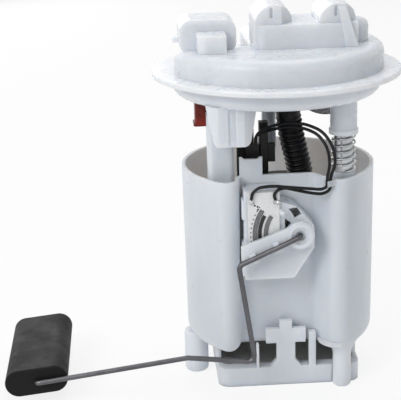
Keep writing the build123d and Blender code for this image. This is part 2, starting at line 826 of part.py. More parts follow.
with BuildPart() as skirt:
    with BuildSketch(Plane.XZ):
        wall = cover_wall - 0.3
        round_z = skirt_bottom_z + skirt_round
        with BuildLine():
            Line((skirt_radius, plate_bottom_z + 0.5), (skirt_radius, round_z))
            RadiusArc((skirt_radius, round_z), (skirt_radius - skirt_round, skirt_bottom_z), skirt_round)
            Polyline(
                (skirt_radius - skirt_round, skirt_bottom_z),
                (skirt_radius - skirt_round - wall, skirt_bottom_z),
                (skirt_radius - skirt_round - wall, skirt_bottom_z + wall),
                (skirt_radius - skirt_round, skirt_bottom_z + wall),
                (skirt_radius - wall, round_z),
                (skirt_radius - wall, plate_bottom_z + 0.5),
                (skirt_radius, plate_bottom_z + 0.5),
            )
        make_face()
    revolve(axis=Axis.Z)

# guide pocket: a channel with two ribs that bear on the guide column
pocket_top_z = skirt_bottom_z + 1.0
pocket_drop = pocket_top_z - pocket_bottom_z
pocket_side_y = column_front_y - 1.0
with BuildPart() as pocket:
    with BuildSketch(Plane.XZ.offset(-pocket_front_y)) as pocket_face:
        with BuildLine():
            Polyline(
                (pocket_left_x, pocket_top_z),
                (pocket_left_x + pocket_taper, pocket_bottom_z),
                (pocket_right_x - pocket_taper, pocket_bottom_z),
                (pocket_right_x, pocket_top_z),
                close=True,
            )
        make_face()
        low_corners = pocket_face.vertices().group_by(Axis.Y)[0]
        fillet(low_corners, 3.0)
    extrude(amount=pocket_front_y - pocket_side_y)
    # right-hand face turns away towards the recess
    with BuildSketch(Plane.XY.offset(pocket_bottom_z - 1)):
        with BuildLine():
            Polyline(
                (pocket_corner_x, pocket_front_y - 1),
                (pocket_corner_x, pocket_front_y),
                (pocket_right_x + 1, pocket_front_y + 5),
                (pocket_right_x + 1, pocket_front_y - 1),
                close=True,
            )
        make_face()
    extrude(amount=pocket_drop + 4, mode=Mode.SUBTRACT)
    # hollow behind the walls
    with BuildSketch(Plane.XY.offset(pocket_bottom_z - 1)):
        with BuildLine():
            Polyline(
                (pocket_left_x + pocket_taper + pocket_wall, pocket_front_y + pocket_wall),
                (pocket_corner_x - 0.6, pocket_front_y + pocket_wall),
                (pocket_right_x - pocket_taper - pocket_wall, pocket_front_y + 4.6),
                (pocket_right_x - pocket_taper - pocket_wall, pocket_side_y + 1),
                (pocket_left_x + pocket_taper + pocket_wall, pocket_side_y + 1),
                close=True,
            )
        make_face()
    extrude(amount=pocket_drop + 4, mode=Mode.SUBTRACT)
    # shallow groove and proud strip down the front
    with BuildSketch(Plane.XY.offset(pocket_bottom_z - 1)):
        with Locations((pocket_corner_x - 5.6, pocket_front_y)):
            Rectangle(3.6, 1.2)
    extrude(amount=pocket_drop + 4, mode=Mode.SUBTRACT)
    # nothing on the flange reaches outside its skirt
    with BuildSketch(Plane.XY.offset(pocket_bottom_z - 1)):
        Circle(skirt_radius - seat_gap)
    extrude(amount=pocket_drop + 4, mode=Mode.INTERSECT)
    for rib_place in (column_left_x + 3.0, column_right_x - 3.0):
        with BuildSketch(Plane.XY.offset(pocket_bottom_z + 2)):
            with Locations((rib_place, (pocket_front_y + pocket_wall + column_front_y - slide_gap) / 2)):
                Rectangle(1.6, column_front_y - slide_gap - pocket_front_y - pocket_wall + 0.4)
        extrude(amount=pocket_drop - 2)

# block with the two fuel pipes, each in a rounded housing that runs front to back
with BuildPart() as pipe_block:
    with BuildSketch(Plane.XY.offset(dome_top_z - 1)) as block_plan:
        with Locations(((block_left_x + block_right_x) / 2, (block_front_y + block_back_y) / 2)):
            Rectangle(block_right_x - block_left_x, block_back_y - block_front_y)
        fillet(block_plan.vertices().group_by(Axis.X)[0], block_round)
    extrude(amount=block_top_z - dome_top_z + 1)
    for ear_x in (supply_x, return_x):
        with BuildSketch(Plane.XZ.offset(-ear_front_y)):
            with Locations((ear_x, block_top_z)):
                Circle(ear_radius)
            with Locations((ear_x, (block_top_z + dome_top_z) / 2)):
                Rectangle(2 * ear_radius, block_top_z - dome_top_z)
        extrude(amount=-(block_back_y - ear_front_y))
    # each ear's front right corner is a flat facet
    for ear_x in (supply_x, return_x):
        with BuildSketch(Plane.XY.offset(block_top_z)):
            with BuildLine():
                Polyline(
                    (ear_x + 2.5, ear_front_y - 1),
                    (ear_x + ear_radius + 1, ear_front_y - 1),
                    (ear_x + ear_radius + 1, ear_front_y + 9),
                    close=True,
                )
            make_face()
        extrude(amount=ear_radius + 1, mode=Mode.SUBTRACT)
        # slot between the two halves of the facet
        with BuildSketch(Plane.XZ.offset(-ear_front_y + 0.5)):
            with Locations((ear_x - 1.4, block_top_z + 5.6)):
                Rectangle(1.2, 4.6)
        extrude(amount=-1.6, mode=Mode.SUBTRACT)
    # gusset that runs down from the return pipe's housing to the cover
    with BuildSketch(Plane.XZ.offset(-block_front_y + 0.8)):
        with BuildLine():
            Polyline(
                (return_x - 0.5, block_top_z + ear_radius - 1.2),
                (return_x + 3.2, block_top_z + ear_radius - 2.0),
                (gusset_foot_x, dome_top_z - 0.5),
                (gusset_foot_x - gusset_width, dome_top_z - 0.5),
                close=True,
            )
        make_face()
    extrude(amount=-6.0)

# body of the electrical connector, open to the rear
shroud_middle_z = shroud_bottom_z + shroud_height / 2
with BuildPart() as connector_body:
    with BuildSketch(Plane.XZ.offset(-shroud_front_y)):
        with Locations((shroud_x, shroud_middle_z)):
            RectangleRounded(shroud_width, shroud_height, shroud_round)
    extrude(amount=-shroud_length)
    with BuildSketch(Plane.XY.offset(dome_top_z - 1)) as box_plan:
        with Locations((terminal_box_x, (terminal_box_front_y + shroud_front_y) / 2)):
            Rectangle(terminal_box_width, shroud_front_y - terminal_box_front_y + 1)
        fillet(box_plan.vertices().group_by(Axis.Y)[0].sort_by(Axis.X)[0], 4.0)
    extrude(amount=terminal_box_top_z - dome_top_z + 1)
    # neck that carries the terminals down to the plate
    with BuildSketch(Plane.XY.offset(plate_top_z - 1)):
        with Locations((shroud_x, (shroud_front_y + neck_back_y) / 2)):
            Rectangle(terminal_box_width, neck_back_y - shroud_front_y)
    extrude(amount=shroud_bottom_z - plate_top_z + 2)
    # latch nub on the side, low nub and oval pad in front
    with BuildSketch(Plane.XZ.offset(-shroud_front_y - 2)):
        with Locations((shroud_x - shroud_width / 2 - 1.0, shroud_middle_z - 1)):
            Rectangle(4.0, 2.6)
    extrude(amount=-3.0)

# dome over the roll-over valve
with BuildPart() as vent_dome:
    with BuildSketch(Plane.XY.offset(dome_ceiling_z)):
        with Locations((vent_x, vent_y)):
            Circle(vent_radius)
    extrude(amount=vent_top_z - dome_ceiling_z)
    fillet(vent_dome.edges().group_by(Axis.Z)[-1], vent_radius * 0.6)

with BuildPart() as flange_cap:
    with BuildSketch(Plane.XY.offset(plate_bottom_z)):
        Circle(plate_radius)
    extrude(amount=plate_thick)
    fillet(flange_cap.edges().group_by(Axis.Z)[-1], 0.8)
    add(dome.part)
    extrude(dome_inline.sketch, amount=dome_ceiling_z - plate_bottom_z, mode=Mode.SUBTRACT)
    add(skirt.part)
    add(pocket.part)
    add(pipe_block.part)
    add(connector_body.part)
    # connector cavity
    with BuildSketch(Plane.XZ.offset(-shroud_front_y - shroud_wall)):
        with Locations((shroud_x, shroud_middle_z)):
            RectangleRounded(
                shroud_width - 2 * shroud_wall, shroud_height - 2 * shroud_wall, shroud_round - shroud_wall
            )
    extrude(amount=-shroud_length, mode=Mode.SUBTRACT)
    # inner socket under the plate, over the plug
    with BuildSketch(Plane.XY.offset(inner_socket_bottom_z)):
        with Locations((shroud_x, (plug_front_y + plug_back_y) / 2)):
            Rectangle(terminal_box_width, plug_back_y - plug_front_y)
    extrude(amount=plate_bottom_z - inner_socket_bottom_z)
    # tongue that slides in the guide column
    with BuildSketch(Plane.XY.offset(tongue_bottom_z)):
        with Locations((column_x, column_y)):
            Rectangle(
                column_size[0] - 2 * column_wall - 2 * slide_gap, column_size[1] - 2 * column_wall - 2 * slide_gap
            )
    extrude(amount=dome_ceiling_z - tongue_bottom_z)
    # socket of the guide rod with a collar over the spring
    with BuildSketch(Plane.XY.offset(rod_socket_bottom_z)):
        with Locations((rod_x, rod_y)):
            Circle(rod_socket_radius)
    extrude(amount=dome_ceiling_z - rod_socket_bottom_z)
    with BuildSketch(Plane.XY.offset(rod_socket_bottom_z)):
        with Locations((rod_x, rod_y)):
            Circle(rod_collar_radius)
    extrude(amount=rod_collar_height)
    with BuildSketch(Plane.XY.offset(rod_socket_bottom_z)):
        with Locations((rod_x, rod_y)):
            Circle(rod_radius)
    extrude(amount=dome_ceiling_z - rod_socket_bottom_z - 2, mode=Mode.SUBTRACT)
    # hose barb under the cover
    with BuildSketch(Plane.XY.offset(hose_top[2] - 9)):
        with Locations(hose_top[:2]):
            Circle(barb_radius)
    extrude(amount=dome_ceiling_z - hose_top[2] + 9)
    add(vent_dome.part)
    with BuildSketch(Plane.XY.offset(dome_ceiling_z - 1)):
        with Locations((vent_x, vent_y)):
            Circle(vent_hole_radius)
    extrude(amount=vent_top_z - 3 - dome_ceiling_z, mode=Mode.SUBTRACT)
    with BuildSketch(Plane.XZ.offset(-vent_y)):
        with Locations((vent_x, dome_top_z + 3)):
            Circle(1.2)
    extrude(amount=-(vent_radius + 1), mode=Mode.SUBTRACT)
    # fuel spigots with a bead behind the plain tip
    for spigot_x in (supply_x, return_x):
        with BuildSketch(Plane.XZ.offset(-block_back_y)):
            with Locations((spigot_x, block_top_z)):
                Circle(spigot_radius)
        extrude(amount=-spigot_length)
        with BuildSketch(Plane.XZ.offset(-(block_back_y + spigot_length - spigot_tip_length))):
            with Locations((spigot_x, block_top_z)):
                Circle(spigot_bead_radius)
        extrude(amount=spigot_bead_width)
    # fuel channels: along each pipe, down, across at channel_z, and down again
    for spigot_x, drop_x, drop_y in (
        (supply_x, hose_top[0], hose_top[1]),
        (return_x, return_pipe_x, return_pipe_y),
    ):
        with BuildSketch(Plane.XZ.offset(-drop_y)):
            with Locations((spigot_x, block_top_z)):
                Circle(spigot_bore_radius)
        extrude(amount=-(block_back_y + spigot_length - drop_y), mode=Mode.SUBTRACT)
        with BuildSketch(Plane.XY.offset(channel_z)):
            with Locations((spigot_x, drop_y)):
                Circle(spigot_bore_radius - 0.2)
        extrude(amount=block_top_z - channel_z, mode=Mode.SUBTRACT)
        with BuildSketch(Plane.YZ.offset(min(spigot_x, drop_x))):
            with Locations((drop_y, channel_z)):
                Circle(spigot_bore_radius - 0.4)
        extrude(amount=abs(spigot_x - drop_x), mode=Mode.SUBTRACT)
        with BuildSketch(Plane.XY.offset(hose_top[2] - 9)):
            with Locations((drop_x, drop_y)):
                Circle(spigot_bore_radius - 0.6)
        extrude(amount=channel_z - hose_top[2] + 9, mode=Mode.SUBTRACT)
    # slots for the terminals
    for i in range(terminal_count):
        terminal_x = shroud_x + (i - (terminal_count - 1) / 2) * terminal_pitch
        with BuildSketch(Plane.XY.offset(inner_socket_bottom_z)):
            with Locations((terminal_x, terminal_drop_y)):
                Rectangle(terminal_width + 2 * fit_gap, terminal_thick + 2 * fit_gap)
        extrude(amount=shroud_middle_z - inner_socket_bottom_z, mode=Mode.SUBTRACT)
save(flange_cap, "flange_cap")

# ---------------------------------------------------------------- terminals, plug and pipes under the flange
with BuildPart() as connector_terminals:
    for i in range(terminal_count):
        terminal_x = shroud_x + (i - (terminal_count - 1) / 2) * terminal_pitch
        with BuildSketch(Plane.XY.offset(plug_top_z - 6)):
            with Locations((terminal_x, terminal_drop_y)):
                Rectangle(terminal_width, terminal_thick)
        extrude(amount=shroud_middle_z - plug_top_z + 6)
        with BuildSketch(Plane.XZ.offset(-(terminal_drop_y - terminal_thick / 2))):
            with Locations((terminal_x, shroud_middle_z)):
                Rectangle(terminal_width, terminal_thick)
        extrude(amount=-(shroud_length - 8))
save(connector_terminals, "connector_terminals")

plug_x = (plug_left_x + plug_right_x) / 2
plug_y = (plug_front_y + plug_back_y) / 2
with BuildPart() as internal_plug:
    with BuildSketch(Plane.XY.offset(plug_bottom_z)):
        with Locations((plug_x, plug_y)):
            RectangleRounded(plug_right_x - plug_left_x, plug_back_y - plug_front_y, 1.5)
    extrude(amount=plug_top_z - plug_bottom_z)
    chamfer(internal_plug.edges().group_by(Axis.Z)[-1], 0.8)
    # lip round the foot of the plug
    with BuildSketch(Plane.XY.offset(plug_bottom_z)):
        with Locations((plug_x, plug_y)):
            RectangleRounded(plug_right_x - plug_left_x + 1.4, plug_back_y - plug_front_y, 1.5)
    extrude(amount=1.4)
    for i in range(terminal_count):
        terminal_x = shroud_x + (i - (terminal_count - 1) / 2) * terminal_pitch
        with BuildSketch(Plane.XY.offset(plug_top_z)):
            with Locations((terminal_x, terminal_drop_y)):
                Rectangle(terminal_width + 2 * fit_gap, terminal_thick + 2 * fit_gap)
        extrude(amount=-7, mode=Mode.SUBTRACT)
save(internal_plug, "internal_plug")

with BuildPart() as return_pipe:
    with BuildSketch(Plane.XY.offset(return_pipe_bottom_z)):
        with Locations((return_pipe_x, return_pipe_y)):
            Circle(return_pipe_radius)
            Circle(return_pipe_bore_radius, mode=Mode.SUBTRACT)
    extrude(amount=dome_ceiling_z - return_pipe_bottom_z)
save(return_pipe, "return_pipe")

# ---------------------------------------------------------------- guide rod, stop clip and spring
clip_z = guide_tube_bottom_z - slide_gap - stop_clip_thick
with BuildPart() as guide_rod:
    with BuildSketch(Plane.XY.offset(rod_bottom_z)):
        with Locations((rod_x, rod_y)):
            Circle(rod_radius)
    extrude(amount=dome_ceiling_z - 2 - rod_bottom_z)
    chamfer(guide_rod.edges().group_by(Axis.Z)[0], 1.0)
    with BuildSketch(Plane.XY.offset(clip_z)):
        with Locations((rod_x, rod_y)):
            Circle(rod_radius + 1)
            Circle(stop_groove_radius, mode=Mode.SUBTRACT)
    extrude(amount=stop_clip_thick, mode=Mode.SUBTRACT)
save(guide_rod, "guide_rod")

with BuildPart() as stop_clip:
    with BuildSketch(Plane.XY.offset(clip_z)):
        with Locations((rod_x, rod_y)):
            Circle(stop_clip_radius)
            Circle(stop_groove_radius, mode=Mode.SUBTRACT)
    extrude(amount=stop_clip_thick)
save(stop_clip, "stop_clip")

spring_bottom_z = guide_tube_top_z
spring_length = rod_socket_bottom_z - spring_bottom_z
with BuildPart() as guide_spring:
    coil_radius = spring_outer_radius - spring_wire_radius
    coil_length = spring_length - 2 * spring_wire_radius - 0.1
    with BuildLine(Plane((rod_x, rod_y, spring_bottom_z + spring_wire_radius + 0.05))):
        coil = Helix(pitch=coil_length / spring_turns, height=coil_length, radius=coil_radius)
    with BuildSketch(Plane(coil @ 0, z_dir=coil % 0)):
        Circle(spring_wire_radius)
    sweep(path=coil)
save(guide_spring, "guide_spring")

# ---------------------------------------------------------------- corrugated hose
hose_points = (
    hose_top,
    (hose_top[0], hose_top[1], hose_top[2] - hose_plain_length),
    (pump_outlet_x, pump_outlet_y, pump_cap_top_z + 6.2),
    (pump_outlet_x, pump_outlet_y, pump_cap_top_z + seat_gap),
)
hose_valley_radius = hose_outer_radius - hose_groove_depth
hose_ridges = 8
hose_first_ridge = 0.29    # share of the hose's length at the first and last ridge
hose_last_ridge = 0.90
with BuildPart() as corrugated_hose:
    with BuildLine():
        hose_line = smooth_path(hose_points)
    with BuildSketch(Plane(hose_line @ 0, z_dir=hose_line % 0)):
        Circle(hose_valley_radius)
    sweep(path=hose_line)
    for i in range(hose_ridges):
        place = hose_first_ridge + (hose_last_ridge - hose_first_ridge) * i / (hose_ridges - 1)
        with BuildSketch(Plane(hose_line @ place, z_dir=hose_line % place)):
            Circle(hose_outer_radius)
        extrude(amount=hose_pitch / 4, both=True)
    # plain cuff at the top
    with BuildSketch(Plane(hose_line @ 0, z_dir=hose_line % 0)):
        Circle(hose_outer_radius)
    extrude(amount=hose_plain_length * 0.72)
    add(tube_along(hose_points, hose_bore_radius).part, mode=Mode.SUBTRACT)
save(corrugated_hose, "corrugated_hose")

# ---------------------------------------------------------------- harness from the plug down to the holder
junction_x = -13.8
junction_width = 6.4
junction_depth = 4.2
junction_bottom_z = holder_bar_top_z - 7.0
junction_top_z = holder_bar_top_z + 1.0
junction_y = holder_bar_y - holder_bar_thick / 2 - junction_depth / 2
with BuildPart() as pump_connector:
    with BuildSketch(Plane.XY.offset(junction_bottom_z)):
        with Locations((junction_x, junction_y)):
            Rectangle(junction_width, junction_depth)
    extrude(amount=junction_top_z - junction_bottom_z)
save(pump_connector, "pump_connector")

harness_points = (
    (plug_right_x, plug_y, plug_bottom_z + 9.5),
    (-19.8, plug_y, plug_bottom_z + 9.5),
    (-14.0, plug_y - 1.8, plug_bottom_z + 6.4),
    (-14.8, junction_y, plug_bottom_z - 1.5),
    (-14.8, junction_y, junction_top_z),
)
save(tube_along(harness_points, harness_radius), "harness_sleeve")

# leads from the junction down to the pump's terminals
terminal_face_x = pump_x - 8 - 0.4
lead_z = pump_cap_top_z + pump_terminal_height / 2 + 0.5
with BuildPart() as pump_leads:
    for lead_x, side in ((junction_x + 1.2, -1), (junction_x - 1.4, 1)):
        lead_end_y = pump_y + side * 5
        lead_points = (
            (lead_x, junction_y, junction_bottom_z),
            (lead_x, junction_y, junction_bottom_z - 7.5),
            (lead_x + 0.2, -3.0, junction_bottom_z - 12.0),
            (lead_x + 3.0, lead_end_y, lead_z),
            (terminal_face_x, lead_end_y, lead_z),
        )
        add(tube_along(lead_points, wire_radius).part)
save(pump_leads, "pump_leads")

# ---------------------------------------------------------------- pressure regulator
with BuildPart() as regulator_can:
    with BuildSketch(Plane.XZ.offset(-regulator_front_y)):
        with Locations((regulator_x, regulator_z)):
            Circle(regulator_radius)
    extrude(amount=-regulator_rim_thick)
    fillet(regulator_can.edges().group_by(Axis.Y)[0], 1.2)
    with BuildSketch(Plane.XZ.offset(-(regulator_front_y + regulator_rim_thick))):
        with Locations((regulator_x, regulator_z)):
            Circle(regulator_can_radius)
    extrude(amount=-regulator_can_depth)
    with BuildSketch(Plane.XZ.offset(-(regulator_front_y + regulator_wall))):
        with Locations((regulator_x, regulator_z)):
            Circle(regulator_can_radius - regulator_wall)
    extrude(amount=-(regulator_rim_thick + regulator_can_depth - 2 * regulator_wall), mode=Mode.SUBTRACT)
    with BuildSketch(Plane.XZ.offset(-(regulator_front_y + regulator_rim_thick + regulator_can_depth - 2))):
        with Locations((regulator_x, regulator_z)):
            Circle(2.0)
    extrude(amount=-4, mode=Mode.SUBTRACT)
save(regulator_can, "regulator_can")

diaphragm_y = regulator_front_y + regulator_rim_thick
with BuildPart() as regulator_diaphragm:
    with BuildSketch(Plane.XZ.offset(-diaphragm_y)):
        with Locations((regulator_x, regulator_z)):
            Circle(regulator_can_radius - regulator_wall - fit_gap)
    extrude(amount=-0.8)
save(regulator_diaphragm, "regulator_diaphragm")

with BuildPart() as regulator_spring:
    wire = 0.4
    run = regulator_can_depth - regulator_wall - 0.8 - 2 * wire - 0.2
    coil_start = (regulator_x, diaphragm_y + 0.9 + wire, regulator_z)
    with BuildLine():
        coil = Helix(run / 4, run, 6.0, center=coil_start, direction=(0, 1, 0))
    with BuildSketch(Plane(coil @ 0, z_dir=coil % 0)):
        Circle(wire)
    sweep(path=coil)
save(regulator_spring, "regulator_spring")

strap_y = regulator_front_y + regulator_rim_thick + 2
strap_depth = 5.0
with BuildPart() as regulator_bracket:
    with BuildSketch(Plane.XZ.offset(-strap_y)):
        with Locations((regulator_x, regulator_z)):
            Circle(regulator_can_radius + 2)
        with Locations((regulator_x, (regulator_z + dome_ceiling_z) / 2)):
            Rectangle(12, dome_ceiling_z - regulator_z)
        with Locations((regulator_x, regulator_z)):
            Circle(regulator_can_radius + fit_gap, mode=Mode.SUBTRACT)
    extrude(amount=-strap_depth)
save(regulator_bracket, "regulator_bracket")

# ---------------------------------------------------------------- roll-over valve under the vent dome
cage_inner = vent_ball_radius + 0.35
with BuildPart() as vent_cage:
    with BuildSketch(Plane.XY.offset(vent_cage_bottom_z)):
        with Locations((vent_x, vent_y)):
            Circle(cage_inner + vent_cage_wall)
    extrude(amount=dome_ceiling_z - vent_cage_bottom_z)
    with BuildSketch(Plane.XY.offset(vent_cage_bottom_z + vent_cage_wall)):
        with Locations((vent_x, vent_y)):
            Circle(cage_inner)
    extrude(amount=vent_seat_z - vent_cage_bottom_z - vent_cage_wall, mode=Mode.SUBTRACT)
    with BuildSketch(Plane.XY.offset(vent_cage_bottom_z)):
        with Locations((vent_x, vent_y)):
            Circle(vent_hole_radius)
    extrude(amount=dome_ceiling_z - vent_cage_bottom_z, mode=Mode.SUBTRACT)
save(vent_cage, "vent_cage")

ball_rest_z = vent_cage_bottom_z + vent_cage_wall + sqrt(vent_ball_radius**2 - vent_hole_radius**2) + 0.05
with BuildPart() as vent_ball:
    with Locations((vent_x, vent_y, ball_rest_z)):
        Sphere(vent_ball_radius)
save(vent_ball, "vent_ball")

# ---------------------------------------------------------------- level sender
arm_angle = atan2(arm_bend[1] - hub_z, arm_bend[0] - hub_x)
arm_run = Vector(cos(arm_angle), sin(arm_angle))
arm_across = Vector(sin(arm_angle), -cos(arm_angle))


def arm_point(along, across, swing=0.0):
    """Point on the lever's face, in X and Z: distance along it from the pivot, and across it, upwards."""
    offset_along = Vector(hub_x, hub_z) + (arm_run * along + arm_across * across).rotate(Axis.Z, -swing)
    return offset_along.X, offset_along.Y


def lever_top(along):
    """Height of the lever's top edge above the wire's line."""
    return arm_top_heel + (arm_top_toe - arm_top_heel) * along / arm_top_length


def lever_low(along):
    """Height of the lever's bottom edge above the wire's line."""
    return -arm_low_edge + 2 * arm_low_edge * along / arm_length


sender_shape = (
    (sender_left_x, sender_bottom_z),
    (sender_left_x, sender_bottom_z + 2.0),
    (sender_tab_left_x, sender_bottom_z + 2.0),
    (sender_tab_left_x, sender_bottom_z + 17.5),
    (sender_left_x, sender_bottom_z + 18.5),
    (sender_left_x, sender_top_z - 13.9),
    (sender_tab_left_x, sender_top_z - 13.9),
    (sender_tab_left_x, sender_top_z - 4.7),
    (sender_left_x, sender_top_z - 4.7),
    (sender_left_x, sender_top_z),
    (card_right_x, sender_top_z),
    (card_right_x, sender_shoulder_z),
    (sender_right_x - 8.0, sender_shoulder_z - 3.0),
    (sender_right_x, hub_z + 3.0),
    (sender_right_x, hub_z - 8.0),
    (sender_right_x - 9.8, sender_bottom_z),
)
low_stop = arm_point(low_stop_along, lever_low(low_stop_along) - slide_gap - stop_peg_radius)
high_stop = arm_point(high_stop_along, lever_top(high_stop_along) + slide_gap + stop_peg_radius, arm_swing)
with BuildPart() as sender_frame:
    with BuildSketch(Plane.XZ.offset(-recess_y)) as sender_face:
        with BuildLine():
            Polyline(*sender_shape, close=True)
        make_face()
    extrude(amount=recess_y - sender_front_y)
    # the left edge steps back to clear the rounded corner of the recess
    with BuildSketch(Plane.XZ.offset(-recess_y)):
        with Locations((recess_left_x, (sender_bottom_z + sender_top_z) / 2)):
            Rectangle(2 * recess_corner_round + 0.4, sender_top_z - sender_bottom_z + 1)
    extrude(amount=recess_corner_round + seat_gap, mode=Mode.SUBTRACT)
    # hollow from behind, with a sleeve for the pivot
    with BuildSketch(Plane.XZ.offset(-recess_y)):
        add(sender_face.sketch)
        offset(amount=-sender_wall, kind=Kind.INTERSECTION, mode=Mode.REPLACE)
        with Locations((hub_x, hub_z)):
            Circle(pivot_radius + sender_wall + 0.6, mode=Mode.SUBTRACT)
    extrude(amount=recess_y - sender_front_y - sender_face_thick, mode=Mode.SUBTRACT)
    # windows through the face
    for window in (
        ((1.1, 94.4), (4.9, 95.0), (7.3, 91.4), (3.9, 89.7)),
        ((-0.9, 89.8), (-0.9, 83.7), (2.4, 87.2)),
    ):
        with BuildSketch(Plane.XZ.offset(-recess_y)):
            with BuildLine():
                Polyline(*window, close=True)
            make_face()
        extrude(amount=recess_y - sender_front_y, mode=Mode.SUBTRACT)
    # bush for the arm's pivot and the two pegs that stop the lever
    with BuildSketch(Plane.XZ.offset(-sender_front_y)):
        with Locations((hub_x, hub_z)):
            Circle(pivot_radius + sender_wall + 0.6)
    extrude(amount=sender_front_y - arm_back_y - slide_gap)
    with BuildSketch(Plane.XZ.offset(-sender_front_y)):
        with Locations(low_stop, high_stop):
            Circle(stop_peg_radius)
    extrude(amount=sender_front_y - arm_front_y - slide_gap)
    with BuildSketch(Plane.XZ.offset(-recess_y)):
        with Locations((hub_x, hub_z)):
            Circle(pivot_radius + fit_gap)
    extrude(amount=recess_y - arm_back_y, mode=Mode.SUBTRACT)
save(sender_frame, "sender_frame")


def hub_sector(radii, start_angle, end_angle, plane):
    """Ring sector about the arm's pivot, angles in degrees above the horizontal on the -X side."""
    inner, outer = radii
    reach = 1.5 * outer
    with BuildSketch(plane) as sector:
        with Locations((hub_x, hub_z)):
            Circle(outer)
            Circle(inner, mode=Mode.SUBTRACT)
        with BuildLine():
            corners = [(hub_x, hub_z)]
            for angle in (start_angle, (start_angle + end_angle) / 2, end_angle):
                corners.append((hub_x - reach * cos(radians(angle)), hub_z + reach * sin(radians(angle))))
            Polyline(*corners, close=True)
        make_face(mode=Mode.INTERSECT)
    return sector.sketch


card_margin = 1.5          # width of the frame left bare round the card
with BuildPart() as resistor_card:
    with BuildSketch(Plane.XZ.offset(-sender_front_y)):
        with BuildLine():
            Polyline(
                (sender_left_x + card_margin, low_stop[1] + 3 * stop_peg_radius),
                (sender_left_x + card_margin, sender_top_z - 0.6),
                (card_right_x - 0.4, sender_top_z - 0.6),
                (card_right_x - 0.4, hub_z + 2.0),
                (card_right_x - 4.4, hub_z - 4.0),
                close=True,
            )
        make_face()
        with Locations(high_stop):
            Circle(stop_peg_radius + seat_gap, mode=Mode.SUBTRACT)
    extrude(amount=card_thick)
save(resistor_card, "resistor_card")

track_plane = Plane.XZ.offset(-card_face_y)
with BuildPart() as resistor_tracks:
    for radii in (outer_track, inner_track):
        extrude(hub_sector(radii, track_low_angle, track_high_angle, track_plane), amount=track_thick)
save(resistor_tracks, "resistor_tracks")

with BuildPart() as resistor_ink:
    extrude(hub_sector(ink_track, track_low_angle, ink_high_angle, track_plane), amount=track_thick)
save(resistor_ink, "resistor_ink")

terminal_posts = ((-17.1, 98.8), (-5.4, 98.4))
with BuildPart() as sender_terminals:
    with BuildSketch(track_plane):
        with Locations(*terminal_posts):
            Circle(sender_terminal_radius)
    extrude(amount=sender_terminal_height)
save(sender_terminals, "sender_terminals")

# ---------------------------------------------------------------- the sender's two wires
wire_a_end, wire_b_end = terminal_posts
wire_end_gap = sender_terminal_radius + 0.05
wire_a_points = (
    (-12.0, -13.5, junction_top_z),
    (-12.0, -13.5, 124.0),
    (-9.6, -15.2, 126.4),
    (-5.3, -17.8, 128.2),
    (0.8, -22.2, 130.6),
    (8.9, -29.4, 131.8),
    (15.6, -35.4, 129.6),
    (19.4, -39.6, 123.6),
    (20.2, -40.2, 116.2),
    lug_point(lug_wires[0], 109.6),
    lug_point(lug_wires[0], 104.8),
    (16.0, -39.2, 103.9),
    (10.8, -39.5, 104.6),
    (1.8, -39.8, 105.7),
    (-7.0, -39.3, 106.7),
    (-13.4, -39.05, 106.0),
    (-16.4, -39.0, 103.4),
    (wire_a_end[0] + 0.2, sender_wire_y, wire_a_end[1] + wire_end_gap),
)
wire_b_points = (
    (-12.0, -15.7, junction_top_z),
    (-12.0, -15.7, 125.0),
    (-9.8, -17.2, 127.8),
    (-5.0, -18.6, 130.2),
    (1.2, -22.8, 132.6),
    (9.4, -29.8, 133.9),
    (17.4, -36.4, 131.4),
    (21.8, -40.4, 124.6),
    (22.8, -41.2, 117.0),
    lug_point(lug_wires[1], 109.4),
    lug_point(lug_wires[1], 103.2),
    (17.0, -38.3, 101.3),
    (12.0, -38.2, 101.9),
    (5.4, -38.2, 103.5),
    (-0.8, -38.2, 105.2),
    (-4.8, -39.0, 104.4),
    (-6.2, -39.05, 101.8),
    (wire_b_end[0], sender_wire_y, wire_b_end[1] + wire_end_gap),
)
save(tube_along(wire_a_points, wire_radius), "sender_wire_a")
save(tube_along(wire_b_points, wire_radius), "sender_wire_b")

# ---------------------------------------------------------------- float arm
arm_clip_y = float_wire_y - 0.4 * float_wire_radius
wiper_start = wiper_radii[0] - 2.4
wiper_end = wiper_radii[-1] + 1.6


def arm_patch(start, end, low, high):
    """Corners of a four-sided patch of the lever's face."""
    return arm_point(start, low), arm_point(end, low), arm_point(end, high), arm_point(start, high)


wiper_low = wiper_across - wiper_half_width
wiper_high = wiper_across + wiper_half_width


